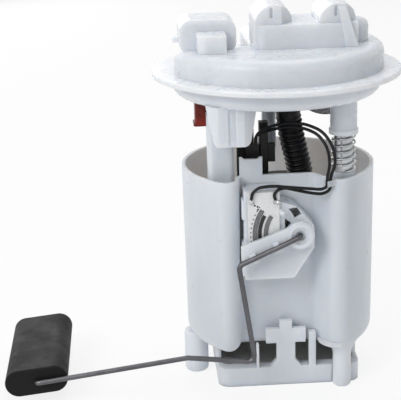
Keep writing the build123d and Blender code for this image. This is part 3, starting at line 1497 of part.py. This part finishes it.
with BuildPart() as arm_lever:
    with BuildSketch(Plane.XZ.offset(-arm_back_y)):
        with Locations((hub_x, hub_z)):
            Circle(hub_radius)
        with BuildLine():
            Polyline(
                arm_point(0, -arm_low_edge),
                arm_point(arm_length, arm_low_edge),
                arm_point(arm_top_length, arm_top_toe),
                arm_point(0, arm_top_heel),
                close=True,
            )
        make_face()
    extrude(amount=arm_back_y - arm_front_y)
    # pocket for the wiper
    with BuildSketch(Plane.XZ.offset(-arm_back_y)):
        with BuildLine():
            Polyline(*arm_patch(wiper_start, wiper_end, wiper_low, wiper_high), close=True)
        make_face()
    extrude(amount=wiper_thick, mode=Mode.SUBTRACT)
    # pivot pin, turning in the frame's bush
    pin_root_y = (arm_back_y + arm_front_y) / 2
    with BuildSketch(Plane.XZ.offset(-pin_root_y)):
        with Locations((hub_x, hub_z)):
            Circle(pivot_radius)
    extrude(amount=pin_root_y - recess_y + slide_gap)
    # raised ring round the pivot
    with BuildSketch(Plane.XZ.offset(-arm_front_y)):
        with Locations((hub_x, hub_z)):
            Circle(hub_radius - 0.9)
            Circle(hub_radius - 2.3, mode=Mode.SUBTRACT)
    extrude(amount=arm_ring_height)
    # two clips that grip the float wire, and the hole for its hooked end
    for start, end in arm_clips:
        with BuildSketch(Plane.XZ.offset(-arm_back_y)):
            with BuildLine():
                Polyline(*arm_patch(start, end, -float_wire_radius - 1.0, float_wire_radius + 1.4), close=True)
            make_face()
        extrude(amount=arm_back_y - arm_clip_y)
    wire_start = Vector(hub_x, float_wire_y, hub_z)
    with BuildSketch(Plane(wire_start, z_dir=Vector(arm_bend[0], float_wire_y, arm_bend[1]) - wire_start)):
        Circle(float_wire_radius + fit_gap)
    extrude(amount=2 * arm_length, mode=Mode.SUBTRACT)
    with BuildSketch(Plane.XZ.offset(-arm_front_y)):
        with Locations((hub_x, hub_z)):
            Circle(float_wire_radius + fit_gap)
    extrude(amount=-(arm_hook_depth + slide_gap), mode=Mode.SUBTRACT)
    # countersink round the hook, for the bend of the wire
    with BuildSketch(Plane.XZ.offset(-arm_front_y + arm_ring_height)):
        with Locations((hub_x, hub_z)):
            Circle(2 * float_wire_radius)
    extrude(amount=-(arm_ring_height + 0.8), mode=Mode.SUBTRACT)
save(arm_lever, "arm_lever")

with BuildPart() as wiper:
    with BuildSketch(Plane.XZ.offset(-arm_back_y)):
        with BuildLine():
            Polyline(
                *arm_patch(wiper_start + fit_gap, wiper_end - fit_gap, wiper_low + fit_gap, wiper_high - fit_gap),
                close=True,
            )
        make_face()
    extrude(amount=wiper_thick)
    with BuildSketch(Plane.XZ.offset(-arm_back_y)):
        for finger_radius in wiper_radii:
            with Locations(arm_point(sqrt(finger_radius**2 - wiper_across**2), wiper_across)):
                Circle(wiper_finger_radius)
    extrude(amount=arm_back_y - track_face_y + slide_gap)
save(wiper, "wiper")

# ---------------------------------------------------------------- float wire, float and its retainer
float_back_y = float_front_y + float_length
float_wire_corners = [
    (hub_x, arm_front_y + arm_hook_depth, hub_z),
    (hub_x, float_wire_y, hub_z),
    (arm_bend[0], float_wire_y, arm_bend[1]),
    (lower_bend[0], float_wire_y, lower_bend[1]),
    (kink[0], float_wire_y, kink[1]),
    (float_pivot[0], float_wire_y, float_pivot[1]),
    (float_pivot[0], float_back_y + retainer_thick + 2.5, float_pivot[1]),
]
with BuildPart() as float_wire:
    with BuildLine():
        float_line = FilletPolyline(
            *[Vector(*p) for p in float_wire_corners],
            radius=[float_wire_radius + 0.4] + 3 * [wire_bend_radius] + [float_bend_radius],
        )
    with BuildSketch(Plane(float_line @ 0, z_dir=float_line % 0)):
        Circle(float_wire_radius)
    sweep(path=float_line)
save(float_wire, "float_wire")

with BuildPart() as float_foam:
    with BuildSketch(Plane.XZ.offset(-float_front_y)):
        with Locations(float_pivot):
            SlotOverall(float_width, float_height, rotation=float_tilt)
    extrude(amount=-float_length)
    fillet(float_foam.edges().group_by(Axis.Y)[0] + float_foam.edges().group_by(Axis.Y)[-1], float_edge_round)
    with BuildSketch(Plane.XZ.offset(-float_front_y)):
        with Locations(float_pivot):
            Circle(float_wire_radius + fit_gap)
    extrude(amount=-float_length, mode=Mode.SUBTRACT)
save(float_foam, "float")

with BuildPart() as float_retainer:
    with BuildSketch(Plane.XZ.offset(-(float_back_y + slide_gap))):
        with Locations(float_pivot):
            Circle(retainer_radius)
            Circle(float_wire_radius, mode=Mode.SUBTRACT)
    extrude(amount=-retainer_thick)
save(float_retainer, "float_retainer")
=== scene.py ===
"""Fuel pump module: materials, soft pieces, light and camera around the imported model. Metres, +Z up."""

import json
from math import cos, pi, radians, sin, tau

import bmesh
import bpy
from mathutils import Matrix, Vector, noise


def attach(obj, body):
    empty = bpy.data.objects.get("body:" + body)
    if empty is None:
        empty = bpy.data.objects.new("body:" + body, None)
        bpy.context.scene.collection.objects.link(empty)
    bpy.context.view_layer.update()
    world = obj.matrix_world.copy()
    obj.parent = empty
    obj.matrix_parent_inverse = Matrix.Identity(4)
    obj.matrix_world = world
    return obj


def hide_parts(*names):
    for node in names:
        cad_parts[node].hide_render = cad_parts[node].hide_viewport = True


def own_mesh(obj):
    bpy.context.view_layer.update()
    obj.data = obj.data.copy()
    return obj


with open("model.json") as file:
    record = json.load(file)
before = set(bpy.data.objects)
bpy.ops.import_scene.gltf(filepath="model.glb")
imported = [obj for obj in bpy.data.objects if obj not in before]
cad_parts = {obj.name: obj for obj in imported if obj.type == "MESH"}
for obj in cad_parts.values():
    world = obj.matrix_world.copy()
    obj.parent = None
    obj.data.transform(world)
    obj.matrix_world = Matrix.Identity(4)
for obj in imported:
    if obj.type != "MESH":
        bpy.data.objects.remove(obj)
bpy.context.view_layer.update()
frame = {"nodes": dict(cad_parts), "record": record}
nodes = frame["nodes"]
mm = 0.001

# ---------------------------------------------------------------- places and sizes
image_size = (401, 400)
camera_azimuth = radians(-3.0)
camera_pitch = radians(17.41)
camera_roll = radians(-1.66)
camera_distance = 0.626
camera_height = 0.2847
camera_aside = -0.0387
focal_pixels = 1307.0
sensor_width = 36.0

hose_route = [(4.2, -8.0, 142.0), (4.2, -8.0, 131.0), (11.6, -4.0, 101.2), (11.6, -4.0, 95.1)]
hose_ridge_radius = 6.4 * mm
hose_valley_radius = 5.3 * mm
hose_pitch = 2.65 * mm
hose_cuff = 11.2 * mm
hose_tail = 3.0 * mm
hose_smooth_radius = hose_ridge_radius - 0.45 * mm    # of the cuff and the tail
hose_lip_height = 0.35 * mm
hose_lip_width = 0.8 * mm
hose_lip_inset = 1.2 * mm    # from the cuff's end to the lip

sleeve_route = [
    (-26.4, -9.7, 140.0), (-22.6, -9.7, 140.2), (-18.2, -10.1, 139.6), (-15.2, -11.6, 136.4),
    (-14.7, -13.6, 131.5), (-14.8, -14.6, 126.5), (-14.8, -14.6, 121.0),
]
sleeve_radius = 1.75 * mm
sleeve_strands = 8
braid_pitch = 7.0 * mm
strand_depth = 0.2 * mm
strand_height = 0.3 * mm

spring_centre = (28.6, -27.6)
spring_low = 109.6 * mm
spring_high = 128.0 * mm
spring_radius = 5.5 * mm
spring_wire = 0.45 * mm
spring_turns = 5.5
spring_steps = 40    # per turn

hub = Vector((6.0, 0.0, 82.4)) * mm
card_face_y = -38.2 * mm
dot_height = 0.1 * mm


# ---------------------------------------------------------------- material parts
def new_material(name, colour, roughness, metallic=0.0, specular=0.5, coat=0.0):
    """A material with one shader; what is the same all over is set on the shader itself."""
    material = bpy.data.materials.new(name)
    material.use_nodes = True
    tree = material.node_tree
    shader = tree.nodes["Principled BSDF"]
    shader.inputs["Base Color"].default_value = (*colour, 1)
    shader.inputs["Roughness"].default_value = roughness
    shader.inputs["Metallic"].default_value = metallic
    shader.inputs["Specular IOR Level"].default_value = specular
    shader.inputs["Coat Weight"].default_value = coat
    return material, tree, shader


def place(tree, stretch=(1, 1, 1)):
    """Object coordinates, stretched along the axes."""
    where = tree.nodes.new("ShaderNodeTexCoord")
    mapping = tree.nodes.new("ShaderNodeMapping")
    mapping.inputs["Scale"].default_value = stretch
    tree.links.new(where.outputs["Object"], mapping.inputs["Vector"])
    return mapping.outputs["Vector"]


def cloud(tree, size, detail=3.0, stretch=(1, 1, 1), roughness=0.55):
    """Soft noise whose patches are about size across."""
    texture = tree.nodes.new("ShaderNodeTexNoise")
    texture.inputs["Scale"].default_value = 1 / size
    texture.inputs["Detail"].default_value = detail
    texture.inputs["Roughness"].default_value = roughness
    tree.links.new(place(tree, stretch), texture.inputs["Vector"])
    return texture.outputs["Fac"]


def cells(tree, size, feature="F1", output="Distance", stretch=(1, 1, 1)):
    """Cell pattern whose cells are about size across."""
    texture = tree.nodes.new("ShaderNodeTexVoronoi")
    texture.feature = feature
    texture.inputs["Scale"].default_value = 1 / size
    tree.links.new(place(tree, stretch), texture.inputs["Vector"])
    return texture.outputs[output]


def ramp(tree, factor, *stops):
    """Colour ramp through (position, colour) stops."""
    node = tree.nodes.new("ShaderNodeValToRGB")
    elements = node.color_ramp.elements
    elements[0].position, elements[1].position = stops[0][0], stops[-1][0]
    elements[0].color, elements[1].color = (*stops[0][1], 1), (*stops[-1][1], 1)
    for position, colour in stops[1:-1]:
        elements.new(position).color = (*colour, 1)
    tree.links.new(factor, node.inputs["Fac"])
    return node.outputs["Color"]


def spread(tree, factor, low, high, start=0.3, end=0.7):
    """Factor carried over from start..end to low..high."""
    node = tree.nodes.new("ShaderNodeMapRange")
    for name, value in (("From Min", start), ("From Max", end), ("To Min", low), ("To Max", high)):
        node.inputs[name].default_value = value
    tree.links.new(factor, node.inputs["Value"])
    return node.outputs["Result"]


def maths(tree, operation, first, second):
    """One sum of two sockets or numbers."""
    node = tree.nodes.new("ShaderNodeMath")
    node.operation = operation
    for socket, value in zip(node.inputs, (first, second)):
        if isinstance(value, (int, float)):
            socket.default_value = value
        else:
            tree.links.new(value, socket)
    return node.outputs["Value"]


def bump(tree, shader, height, depth, strength=1.0):
    """Surface relief of the given depth, added to what the shader already has."""
    node = tree.nodes.new("ShaderNodeBump")
    node.inputs["Distance"].default_value = depth
    node.inputs["Strength"].default_value = strength
    tree.links.new(height, node.inputs["Height"])
    if shader.inputs["Normal"].links:
        tree.links.new(shader.inputs["Normal"].links[0].from_socket, node.inputs["Normal"])
    tree.links.new(node.outputs["Normal"], shader.inputs["Normal"])


def scaled(colour, factor):
    return tuple(min(1.0, c * factor) for c in colour)


# ---------------------------------------------------------------- materials
def moulded_white(name, colour, roughness, waviness):
    """Unfilled white plastic: milky, with flow clouds, faint ripples and a few dull patches."""
    material, tree, shader = new_material(name, colour, roughness, specular=0.35)
    flow = cloud(tree, 22 * mm, 4.0, stretch=(1.0, 1.0, 0.35))
    tint = ramp(tree, flow, (0.30, scaled(colour, 0.93)), (0.55, colour), (0.75, scaled(colour, 1.05)))
    tree.links.new(tint, shader.inputs["Base Color"])
    dull = spread(tree, cloud(tree, 9 * mm, 5.0), roughness * 0.8, roughness * 1.35)
    tree.links.new(dull, shader.inputs["Roughness"])
    bump(tree, shader, cloud(tree, 14 * mm, 2.0), waviness)
    bump(tree, shader, cloud(tree, 0.9 * mm, 3.0), 0.004 * mm)
    shader.inputs["Subsurface Weight"].default_value = 0.8
    shader.inputs["Subsurface Radius"].default_value = (1.0, 0.85, 0.7)
    shader.inputs["Subsurface Scale"].default_value = 7.0 * mm
    return material


def moulded_black(name, colour, roughness, grain):
    """Dark filled plastic or rubber with a fine grain and paler scuffs."""
    material, tree, shader = new_material(name, colour, roughness, specular=0.25)
    scuffs = cloud(tree, 5 * mm, 6.0, roughness=0.65)
    tint = ramp(tree, scuffs, (0.45, colour), (0.72, scaled(colour, 2.2)))
    tree.links.new(tint, shader.inputs["Base Color"])
    tree.links.new(spread(tree, scuffs, roughness * 0.85, roughness * 1.3), shader.inputs["Roughness"])
    bump(tree, shader, cloud(tree, grain, 3.0), 0.03 * mm)
    return material


def foam(name, colour):
    """Closed-cell foam: dull, with fine pores and a faintly brown moulded skin."""
    material, tree, shader = new_material(name, colour, 0.62, specular=0.2)
    pores = cells(tree, 0.55 * mm)
    patches = cloud(tree, 12 * mm, 6.0, roughness=0.7)
    tint = ramp(tree, patches, (0.3, scaled(colour, 0.8)), (0.5, colour), (0.75, scaled(colour, 1.7)))
    tree.links.new(tint, shader.inputs["Base Color"])
    tree.links.new(spread(tree, patches, 0.5, 0.75), shader.inputs["Roughness"])
    bump(tree, shader, spread(tree, pores, 0.0, 1.0, 0.0, 0.35), 0.05 * mm, 0.6)
    bump(tree, shader, cloud(tree, 3 * mm, 5.0), 0.12 * mm, 0.5)
    return material


def drawn_metal(name, colour, roughness, along=(1, 1, 1), tarnish=0.8):
    """Metal with fine drawing lines and a little tarnish."""
    material, tree, shader = new_material(name, colour, roughness, metallic=1.0)
    stains = cloud(tree, 8 * mm, 5.0)
    tint = ramp(tree, stains, (0.35, scaled(colour, tarnish)), (0.6, colour), (0.8, scaled(colour, 1.15)))
    tree.links.new(tint, shader.inputs["Base Color"])
    lines = cloud(tree, 0.8 * mm, 4.0, stretch=along)
    tree.links.new(spread(tree, lines, roughness * 0.7, roughness * 1.4), shader.inputs["Roughness"])
    bump(tree, shader, lines, 0.01 * mm)
    return material


def phosphated(name, colour):
    """Grey sheet with a fine mesh-like grain."""
    material, tree, shader = new_material(name, colour, 0.55, metallic=0.35)
    grain = cells(tree, 1.1 * mm)
    tint = ramp(tree, grain, (0.1, scaled(colour, 1.25)), (0.45, colour), (0.8, scaled(colour, 0.55)))
    tree.links.new(tint, shader.inputs["Base Color"])
    tree.links.new(spread(tree, cloud(tree, 6 * mm, 4.0), 0.42, 0.7), shader.inputs["Roughness"])
    bump(tree, shader, grain, 0.12 * mm, 0.8)
    return material


def fired_ceramic(name, colour):
    """Off-white fired ceramic with grey and dark specks."""
    material, tree, shader = new_material(name, colour, 0.5)
    specks = cells(tree, 0.9 * mm)
    grime = cloud(tree, 1.6 * mm, 6.0, roughness=0.75)
    speckled = maths(tree, "ADD", maths(tree, "MULTIPLY", specks, 0.6), maths(tree, "MULTIPLY", grime, 0.6))
    dark, worn = scaled(colour, 0.25), scaled(colour, 0.78)
    tint = ramp(tree, speckled, (0.22, dark), (0.34, worn), (0.5, colour), (0.8, colour))
    tree.links.new(tint, shader.inputs["Base Color"])
    tree.links.new(spread(tree, grime, 0.35, 0.6), shader.inputs["Roughness"])
    bump(tree, shader, grime, 0.05 * mm, 0.6)
    return material


def printed_ink(name, colour, gloss):
    """Fired ink with streaks along the print."""
    material, tree, shader = new_material(name, colour, gloss)
    streaks = cloud(tree, 0.6 * mm, 5.0, stretch=(1, 1, 0.3))
    tint = ramp(tree, streaks, (0.3, scaled(colour, 0.7)), (0.55, colour), (0.75, scaled(colour, 1.4)))
    tree.links.new(tint, shader.inputs["Base Color"])
    tree.links.new(spread(tree, streaks, gloss * 0.8, gloss * 1.3), shader.inputs["Roughness"])
    bump(tree, shader, streaks, 0.02 * mm)
    return material


def woven(name, colour, thread):
    """Plain weave of round threads."""
    material, tree, shader = new_material(name, colour, 0.6)
    across = tree.nodes.new("ShaderNodeTexWave")
    along = tree.nodes.new("ShaderNodeTexWave")
    for wave, direction in ((across, "X"), (along, "Y")):
        wave.bands_direction = direction
        wave.inputs["Scale"].default_value = 0.3 / thread
        tree.links.new(place(tree), wave.inputs["Vector"])
    weave = maths(tree, "MULTIPLY", across.outputs["Fac"], along.outputs["Fac"])
    tint = ramp(tree, weave, (0.1, scaled(colour, 0.6)), (0.6, colour))
    tree.links.new(tint, shader.inputs["Base Color"])
    tree.links.new(spread(tree, weave, 0.5, 0.75, 0, 1), shader.inputs["Roughness"])
    bump(tree, shader, weave, 0.1 * mm)
    return material


finishes = {
    "white_plastic": moulded_white("white_plastic", (0.725, 0.76, 0.81), 0.34, 0.05 * mm),
    "flange_plastic": moulded_white("flange_plastic", (0.725, 0.755, 0.80), 0.27, 0.07 * mm),
    "black_plastic": moulded_black("black_plastic", (0.007, 0.007, 0.008), 0.36, 0.6 * mm),
    "brown_plastic": moulded_black("brown_plastic", (0.11, 0.008, 0.004), 0.28, 1.2 * mm),
    "black_rubber": moulded_black("black_rubber", (0.012, 0.012, 0.013), 0.55, 0.4 * mm),
    "hose_black": moulded_black("hose_black", (0.005, 0.005, 0.006), 0.30, 0.8 * mm),
    "braid_black": moulded_black("braid_black", (0.007, 0.007, 0.008), 0.34, 0.2 * mm),
    "wire_black": moulded_black("wire_black", (0.005, 0.005, 0.006), 0.30, 0.5 * mm),
    "float_foam": foam("float_foam", (0.006, 0.0055, 0.006)),
    "wire_steel": drawn_metal("wire_steel", (0.13, 0.13, 0.14), 0.34, (0.15, 1, 0.15)),
    "spring_steel": drawn_metal("spring_steel", (0.50, 0.52, 0.52), 0.24),
    "steel": drawn_metal("steel", (0.55, 0.56, 0.58), 0.30, (1, 1, 0.1)),
    "tin": drawn_metal("tin", (0.72, 0.72, 0.73), 0.22, tarnish=0.6),
    "zinc_can": phosphated("zinc_can", (0.30, 0.30, 0.31)),
    "copper": drawn_metal("copper", (0.72, 0.38, 0.22), 0.28),
    "carbon": moulded_black("carbon", (0.03, 0.03, 0.032), 0.45, 0.3 * mm),
    "ferrite": moulded_black("ferrite", (0.06, 0.06, 0.065), 0.5, 0.5 * mm),
    "ceramic": fired_ceramic("ceramic", (0.76, 0.77, 0.78)),
    "ink_grey": printed_ink("ink_grey", (0.16, 0.165, 0.175), 0.42),
    "ink_black": printed_ink("ink_black", (0.010, 0.010, 0.011), 0.3),
    "mesh_white": woven("mesh_white", (0.76, 0.76, 0.73), 0.5 * mm),
}
slots = {part["node"]: part["material_slot"] for part in frame["record"]["subparts"]}
for name, node in nodes.items():
    node.data.materials.clear()
    node.data.materials.append(finishes[slots[name]])


# ---------------------------------------------------------------- mesh parts
def add_piece(name, mesh, slot, body, smooth=True):
    """A mesh piece that rides on a body and takes a slot's finish."""
    piece = bpy.data.objects.new(name, mesh)
    bpy.context.scene.collection.objects.link(piece)
    for polygon in mesh.polygons:
        polygon.use_smooth = smooth
    mesh.materials.append(finishes[slot])
    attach(piece, body)
    return piece


def spline_points(points, steps=64):
    """Points along the smooth line of a route given in millimetres."""
    curve = bpy.data.curves.new("route", "CURVE")
    curve.dimensions = "3D"
    spline = curve.splines.new("NURBS")
    spline.points.add(len(points) - 1)
    for point, place_mm in zip(spline.points, points):
        point.co = (*(c * mm for c in place_mm), 1)
    spline.order_u = 3
    spline.use_endpoint_u = True
    spline.resolution_u = steps
    holder = bpy.data.objects.new("route", curve)
    mesh = bpy.data.meshes.new_from_object(holder)
    line = [vertex.co.copy() for vertex in mesh.vertices]
    bpy.data.meshes.remove(mesh)
    bpy.data.objects.remove(holder)
    bpy.data.curves.remove(curve)
    return line


def even_steps(line, step):
    """The line again, at even steps, as (place, direction, distance) triples."""
    lengths = [0.0]
    for start, end in zip(line, line[1:]):
        lengths.append(lengths[-1] + (end - start).length)
    count = max(2, round(lengths[-1] / step))
    stations = []
    index = 0
    for i in range(count + 1):
        distance = lengths[-1] * i / count
        while index < len(line) - 2 and lengths[index + 1] < distance:
            index += 1
        run = lengths[index + 1] - lengths[index]
        share = (distance - lengths[index]) / run
        direction = (line[index + 1] - line[index]).normalized()
        stations.append((line[index].lerp(line[index + 1], share), direction, distance))
    return stations


def tube_mesh(name, stations, radius_at, sides, closed_ends=True):
    """A tube along the stations; radius_at(distance, angle) is its outline."""
    mesh = bmesh.new()
    aside = stations[0][1].orthogonal().normalized()
    rings = []
    for centre, direction, distance in stations:
        aside = (aside - direction * aside.dot(direction)).normalized()
        across = direction.cross(aside)
        ring = []
        for side in range(sides):
            angle = tau * side / sides
            spoke = aside * cos(angle) + across * sin(angle)
            ring.append(mesh.verts.new(centre + spoke * radius_at(distance, angle)))
        rings.append(ring)
    for low, high in zip(rings, rings[1:]):
        for side in range(sides):
            after = (side + 1) % sides
            mesh.faces.new((low[side], low[after], high[after], high[side]))
    if closed_ends:
        mesh.faces.new(list(reversed(rings[0])))
        mesh.faces.new(rings[-1])
    mesh.normal_update()
    data = bpy.data.meshes.new(name)
    mesh.to_mesh(data)
    mesh.free()
    return data


# ---------------------------------------------------------------- corrugated hose
hose_line = even_steps(spline_points(hose_route), 0.2 * mm)
hose_length = hose_line[-1][2]


def hose_radius(distance, angle):
    """Smooth cuff at the top, then rounded ridges, then a short plain tail."""
    if distance < hose_cuff:
        lip = hose_lip_height * max(0.0, 1 - abs(distance - hose_cuff + hose_lip_inset) / hose_lip_width)
        return hose_smooth_radius + lip
    if distance > hose_length - hose_tail:
        return hose_smooth_radius
    swing = 0.5 - 0.5 * cos(tau * (distance - hose_cuff) / hose_pitch)
    return hose_valley_radius + (hose_ridge_radius - hose_valley_radius) * swing**0.65


hose_mesh = tube_mesh("hose_ribbed", hose_line, hose_radius, 48)
hose = add_piece("hose_ribbed", hose_mesh, "hose_black", "reservoir")
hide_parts("corrugated_hose")
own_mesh(hose)

# ---------------------------------------------------------------- braided sleeve
sleeve_line = even_steps(spline_points(sleeve_route), 0.12 * mm)


def sleeve_outline(distance, angle):
    """Strands wound both ways, each passing over and under the others."""
    twist = tau * distance / braid_pitch
    one_way = cos(sleeve_strands * (angle + twist) / 2) ** 2
    other_way = cos(sleeve_strands * (angle - twist) / 2) ** 2
    return sleeve_radius - strand_depth + strand_height * max(one_way, other_way) ** 0.7


sleeve_mesh = tube_mesh("sleeve_braided", sleeve_line, sleeve_outline, 56)
sleeve = add_piece("sleeve_braided", sleeve_mesh, "braid_black", "reservoir")
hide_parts("harness_sleeve")
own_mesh(sleeve)

# ---------------------------------------------------------------- guide spring
spring_line = []
for i in range(int(spring_turns * spring_steps) + 1):
    turn = i / spring_steps
    angle = tau * turn - pi / 2
    rise = spring_wire + (spring_high - spring_low - 2 * spring_wire) * turn / spring_turns
    spring_line.append(Vector((
        spring_centre[0] * mm + spring_radius * cos(angle),
        spring_centre[1] * mm + spring_radius * sin(angle),
        spring_low + rise,
    )))
spring_stations = even_steps(spring_line, 0.5 * mm)
spring = add_piece(
    "spring_coil", tube_mesh("spring_coil", spring_stations, lambda distance, angle: spring_wire, 12),
    "spring_steel", "reservoir",
)
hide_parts("guide_spring")
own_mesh(spring)


# ---------------------------------------------------------------- solder and printed dots on the level sender
def blob(name, centre, size, slot, seed):
    """A small lumpy drop of solder."""
    mesh = bmesh.new()
    bmesh.ops.create_icosphere(mesh, subdivisions=4, radius=1.0)
    for vertex in mesh.verts:
        lump = 1 + 0.22 * noise.noise(vertex.co * 1.7 + Vector((seed, 0, 0)))
        vertex.co = Vector([c * s * lump for c, s in zip(vertex.co, size)]) + centre
    data = bpy.data.meshes.new(name)
    mesh.to_mesh(data)
    mesh.free()
    return add_piece(name, data, slot, "reservoir")


solder_places = [(-17.0, 98.9), (-5.4, 98.5), (-4.0, 98.3)]
for i, (x, z) in enumerate(solder_places):
    blob(
        f"solder_{i + 1}", Vector((x * mm, card_face_y - 0.45 * mm, z * mm)),
        (1.15 * mm, 0.75 * mm, 0.95 * mm), "tin", 3.1 * i,
    )


def card_dots(name, places, radius, slot):
    """Flat round dots printed on the sender's card, in one mesh."""
    mesh = bmesh.new()
    for x, z in places:
        spot = Matrix.Translation((x * mm, card_face_y - 0.04 * mm, z * mm)) @ Matrix.Rotation(pi / 2, 4, "X")
        bmesh.ops.create_cone(
            mesh, cap_ends=True, segments=14, radius1=radius, radius2=radius * 0.8, depth=dot_height,
            matrix=spot,
        )
    data = bpy.data.meshes.new(name)
    mesh.to_mesh(data)
    mesh.free()
    return add_piece(name, data, slot, "reservoir", smooth=False)


dot_ring = 23.35
dot_angles = [-8.0, -2.5, 3.0, 8.5, 14.0, 19.5, 25.0, 30.5, 35.5]
card_dots(
    "trim_dots",
    [(hub.x / mm - dot_ring * cos(radians(a)), hub.z / mm + dot_ring * sin(radians(a))) for a in dot_angles],
    0.36 * mm, "ink_black",
)
link_corners = [(-15.9, 98.2), (-15.2, 97.0), (-13.9, 96.4), (-13.7, 95.0), (-12.4, 94.5), (-11.4, 94.0)]
card_dots("trace_link", link_corners, 0.5 * mm, "ink_black")

# ---------------------------------------------------------------- light, floor and camera
def light(name, place_m, target, size, power, colour):
    """A soft square lamp that looks at the target."""
    lamp = bpy.data.lights.new(name, "AREA")
    lamp.shape = "SQUARE"
    lamp.size = size
    lamp.energy = power
    lamp.color = colour
    holder = bpy.data.objects.new(name, lamp)
    holder.location = place_m
    holder.rotation_euler = (Vector(target) - Vector(place_m)).to_track_quat("-Z", "Y").to_euler()
    bpy.context.scene.collection.objects.link(holder)


object_middle = (0.0, 0.0, 0.09)
light("key", (-0.95, -0.95, 0.95), object_middle, 0.7, 11.0, (1.0, 0.99, 0.97))
light("fill", (1.1, -0.9, 0.35), object_middle, 0.8, 0.5, (0.95, 0.97, 1.0))
light("top", (0.1, 0.25, 1.3), object_middle, 0.8, 5.2, (1.0, 1.0, 1.0))
light("back", (-0.4, 1.1, 0.45), object_middle, 0.8, 2.4, (1.0, 0.98, 0.96))

world_level = 0.42
floor_glow = 0.82
floor_reach = 6.0


def seen_directly(tree):
    """1 for rays that show the surroundings as a plain white ground, 0 for the rest."""
    path = tree.nodes.new("ShaderNodeLightPath")
    seen = maths(tree, "MAXIMUM", path.outputs["Is Camera Ray"], path.outputs["Is Glossy Ray"])
    return maths(tree, "MAXIMUM", seen, path.outputs["Is Transmission Ray"])


world = bpy.data.worlds.new("studio")
world.use_nodes = True
bpy.context.scene.world = world
surround = world.node_tree.nodes["Background"]
surround.inputs["Color"].default_value = (1, 1, 1, 1)
level = spread(world.node_tree, seen_directly(world.node_tree), world_level, 1.0, 0, 1)
world.node_tree.links.new(level, surround.inputs["Strength"])


def floor_material():
    """Pale floor that shows white to the camera and still takes part of the object's shadow."""
    material, tree, shader = new_material("floor_white", (0.93, 0.935, 0.94), 0.9, specular=0.2)
    glow = tree.nodes.new("ShaderNodeEmission")
    glow.inputs["Color"].default_value = (1, 1, 1, 1)
    mix = tree.nodes.new("ShaderNodeMixShader")
    share = maths(tree, "MULTIPLY", seen_directly(tree), floor_glow)
    tree.links.new(share, mix.inputs["Fac"])
    tree.links.new(shader.outputs["BSDF"], mix.inputs[1])
    tree.links.new(glow.outputs["Emission"], mix.inputs[2])
    tree.links.new(mix.outputs["Shader"], tree.nodes["Material Output"].inputs["Surface"])
    bump(tree, shader, cloud(tree, 2 * mm, 2.0), 0.02 * mm)
    return material


floor_mesh = bmesh.new()
bmesh.ops.create_grid(floor_mesh, x_segments=8, y_segments=8, size=floor_reach)
floor_data = bpy.data.meshes.new("floor")
floor_mesh.to_mesh(floor_data)
floor_mesh.free()
floor = bpy.data.objects.new("floor", floor_data)
floor_data.materials.append(floor_material())
bpy.context.scene.collection.objects.link(floor)

aside = Vector((cos(camera_azimuth), sin(camera_azimuth), 0))
ahead = Vector((-sin(camera_azimuth), cos(camera_azimuth), 0))
upward = Vector((0, 0, 1))
view_line = ahead * cos(camera_pitch) - upward * sin(camera_pitch)
view_up = ahead * sin(camera_pitch) + upward * cos(camera_pitch)
frame_right = aside * cos(camera_roll) + view_up * sin(camera_roll)
frame_up = view_up * cos(camera_roll) - aside * sin(camera_roll)
camera_data = bpy.data.cameras.new("camera")
camera_data.sensor_width = sensor_width
camera_data.lens = focal_pixels / image_size[0] * sensor_width
camera = bpy.data.objects.new("camera", camera_data)
camera.matrix_world = Matrix.Translation(
    aside * camera_aside - ahead * camera_distance + upward * camera_height
) @ Matrix((frame_right, frame_up, -view_line)).transposed().to_4x4()
bpy.context.scene.collection.objects.link(camera)
bpy.context.scene.camera = camera
bpy.context.scene.view_settings.view_transform = "Standard"

bpy.context.view_layer.update()
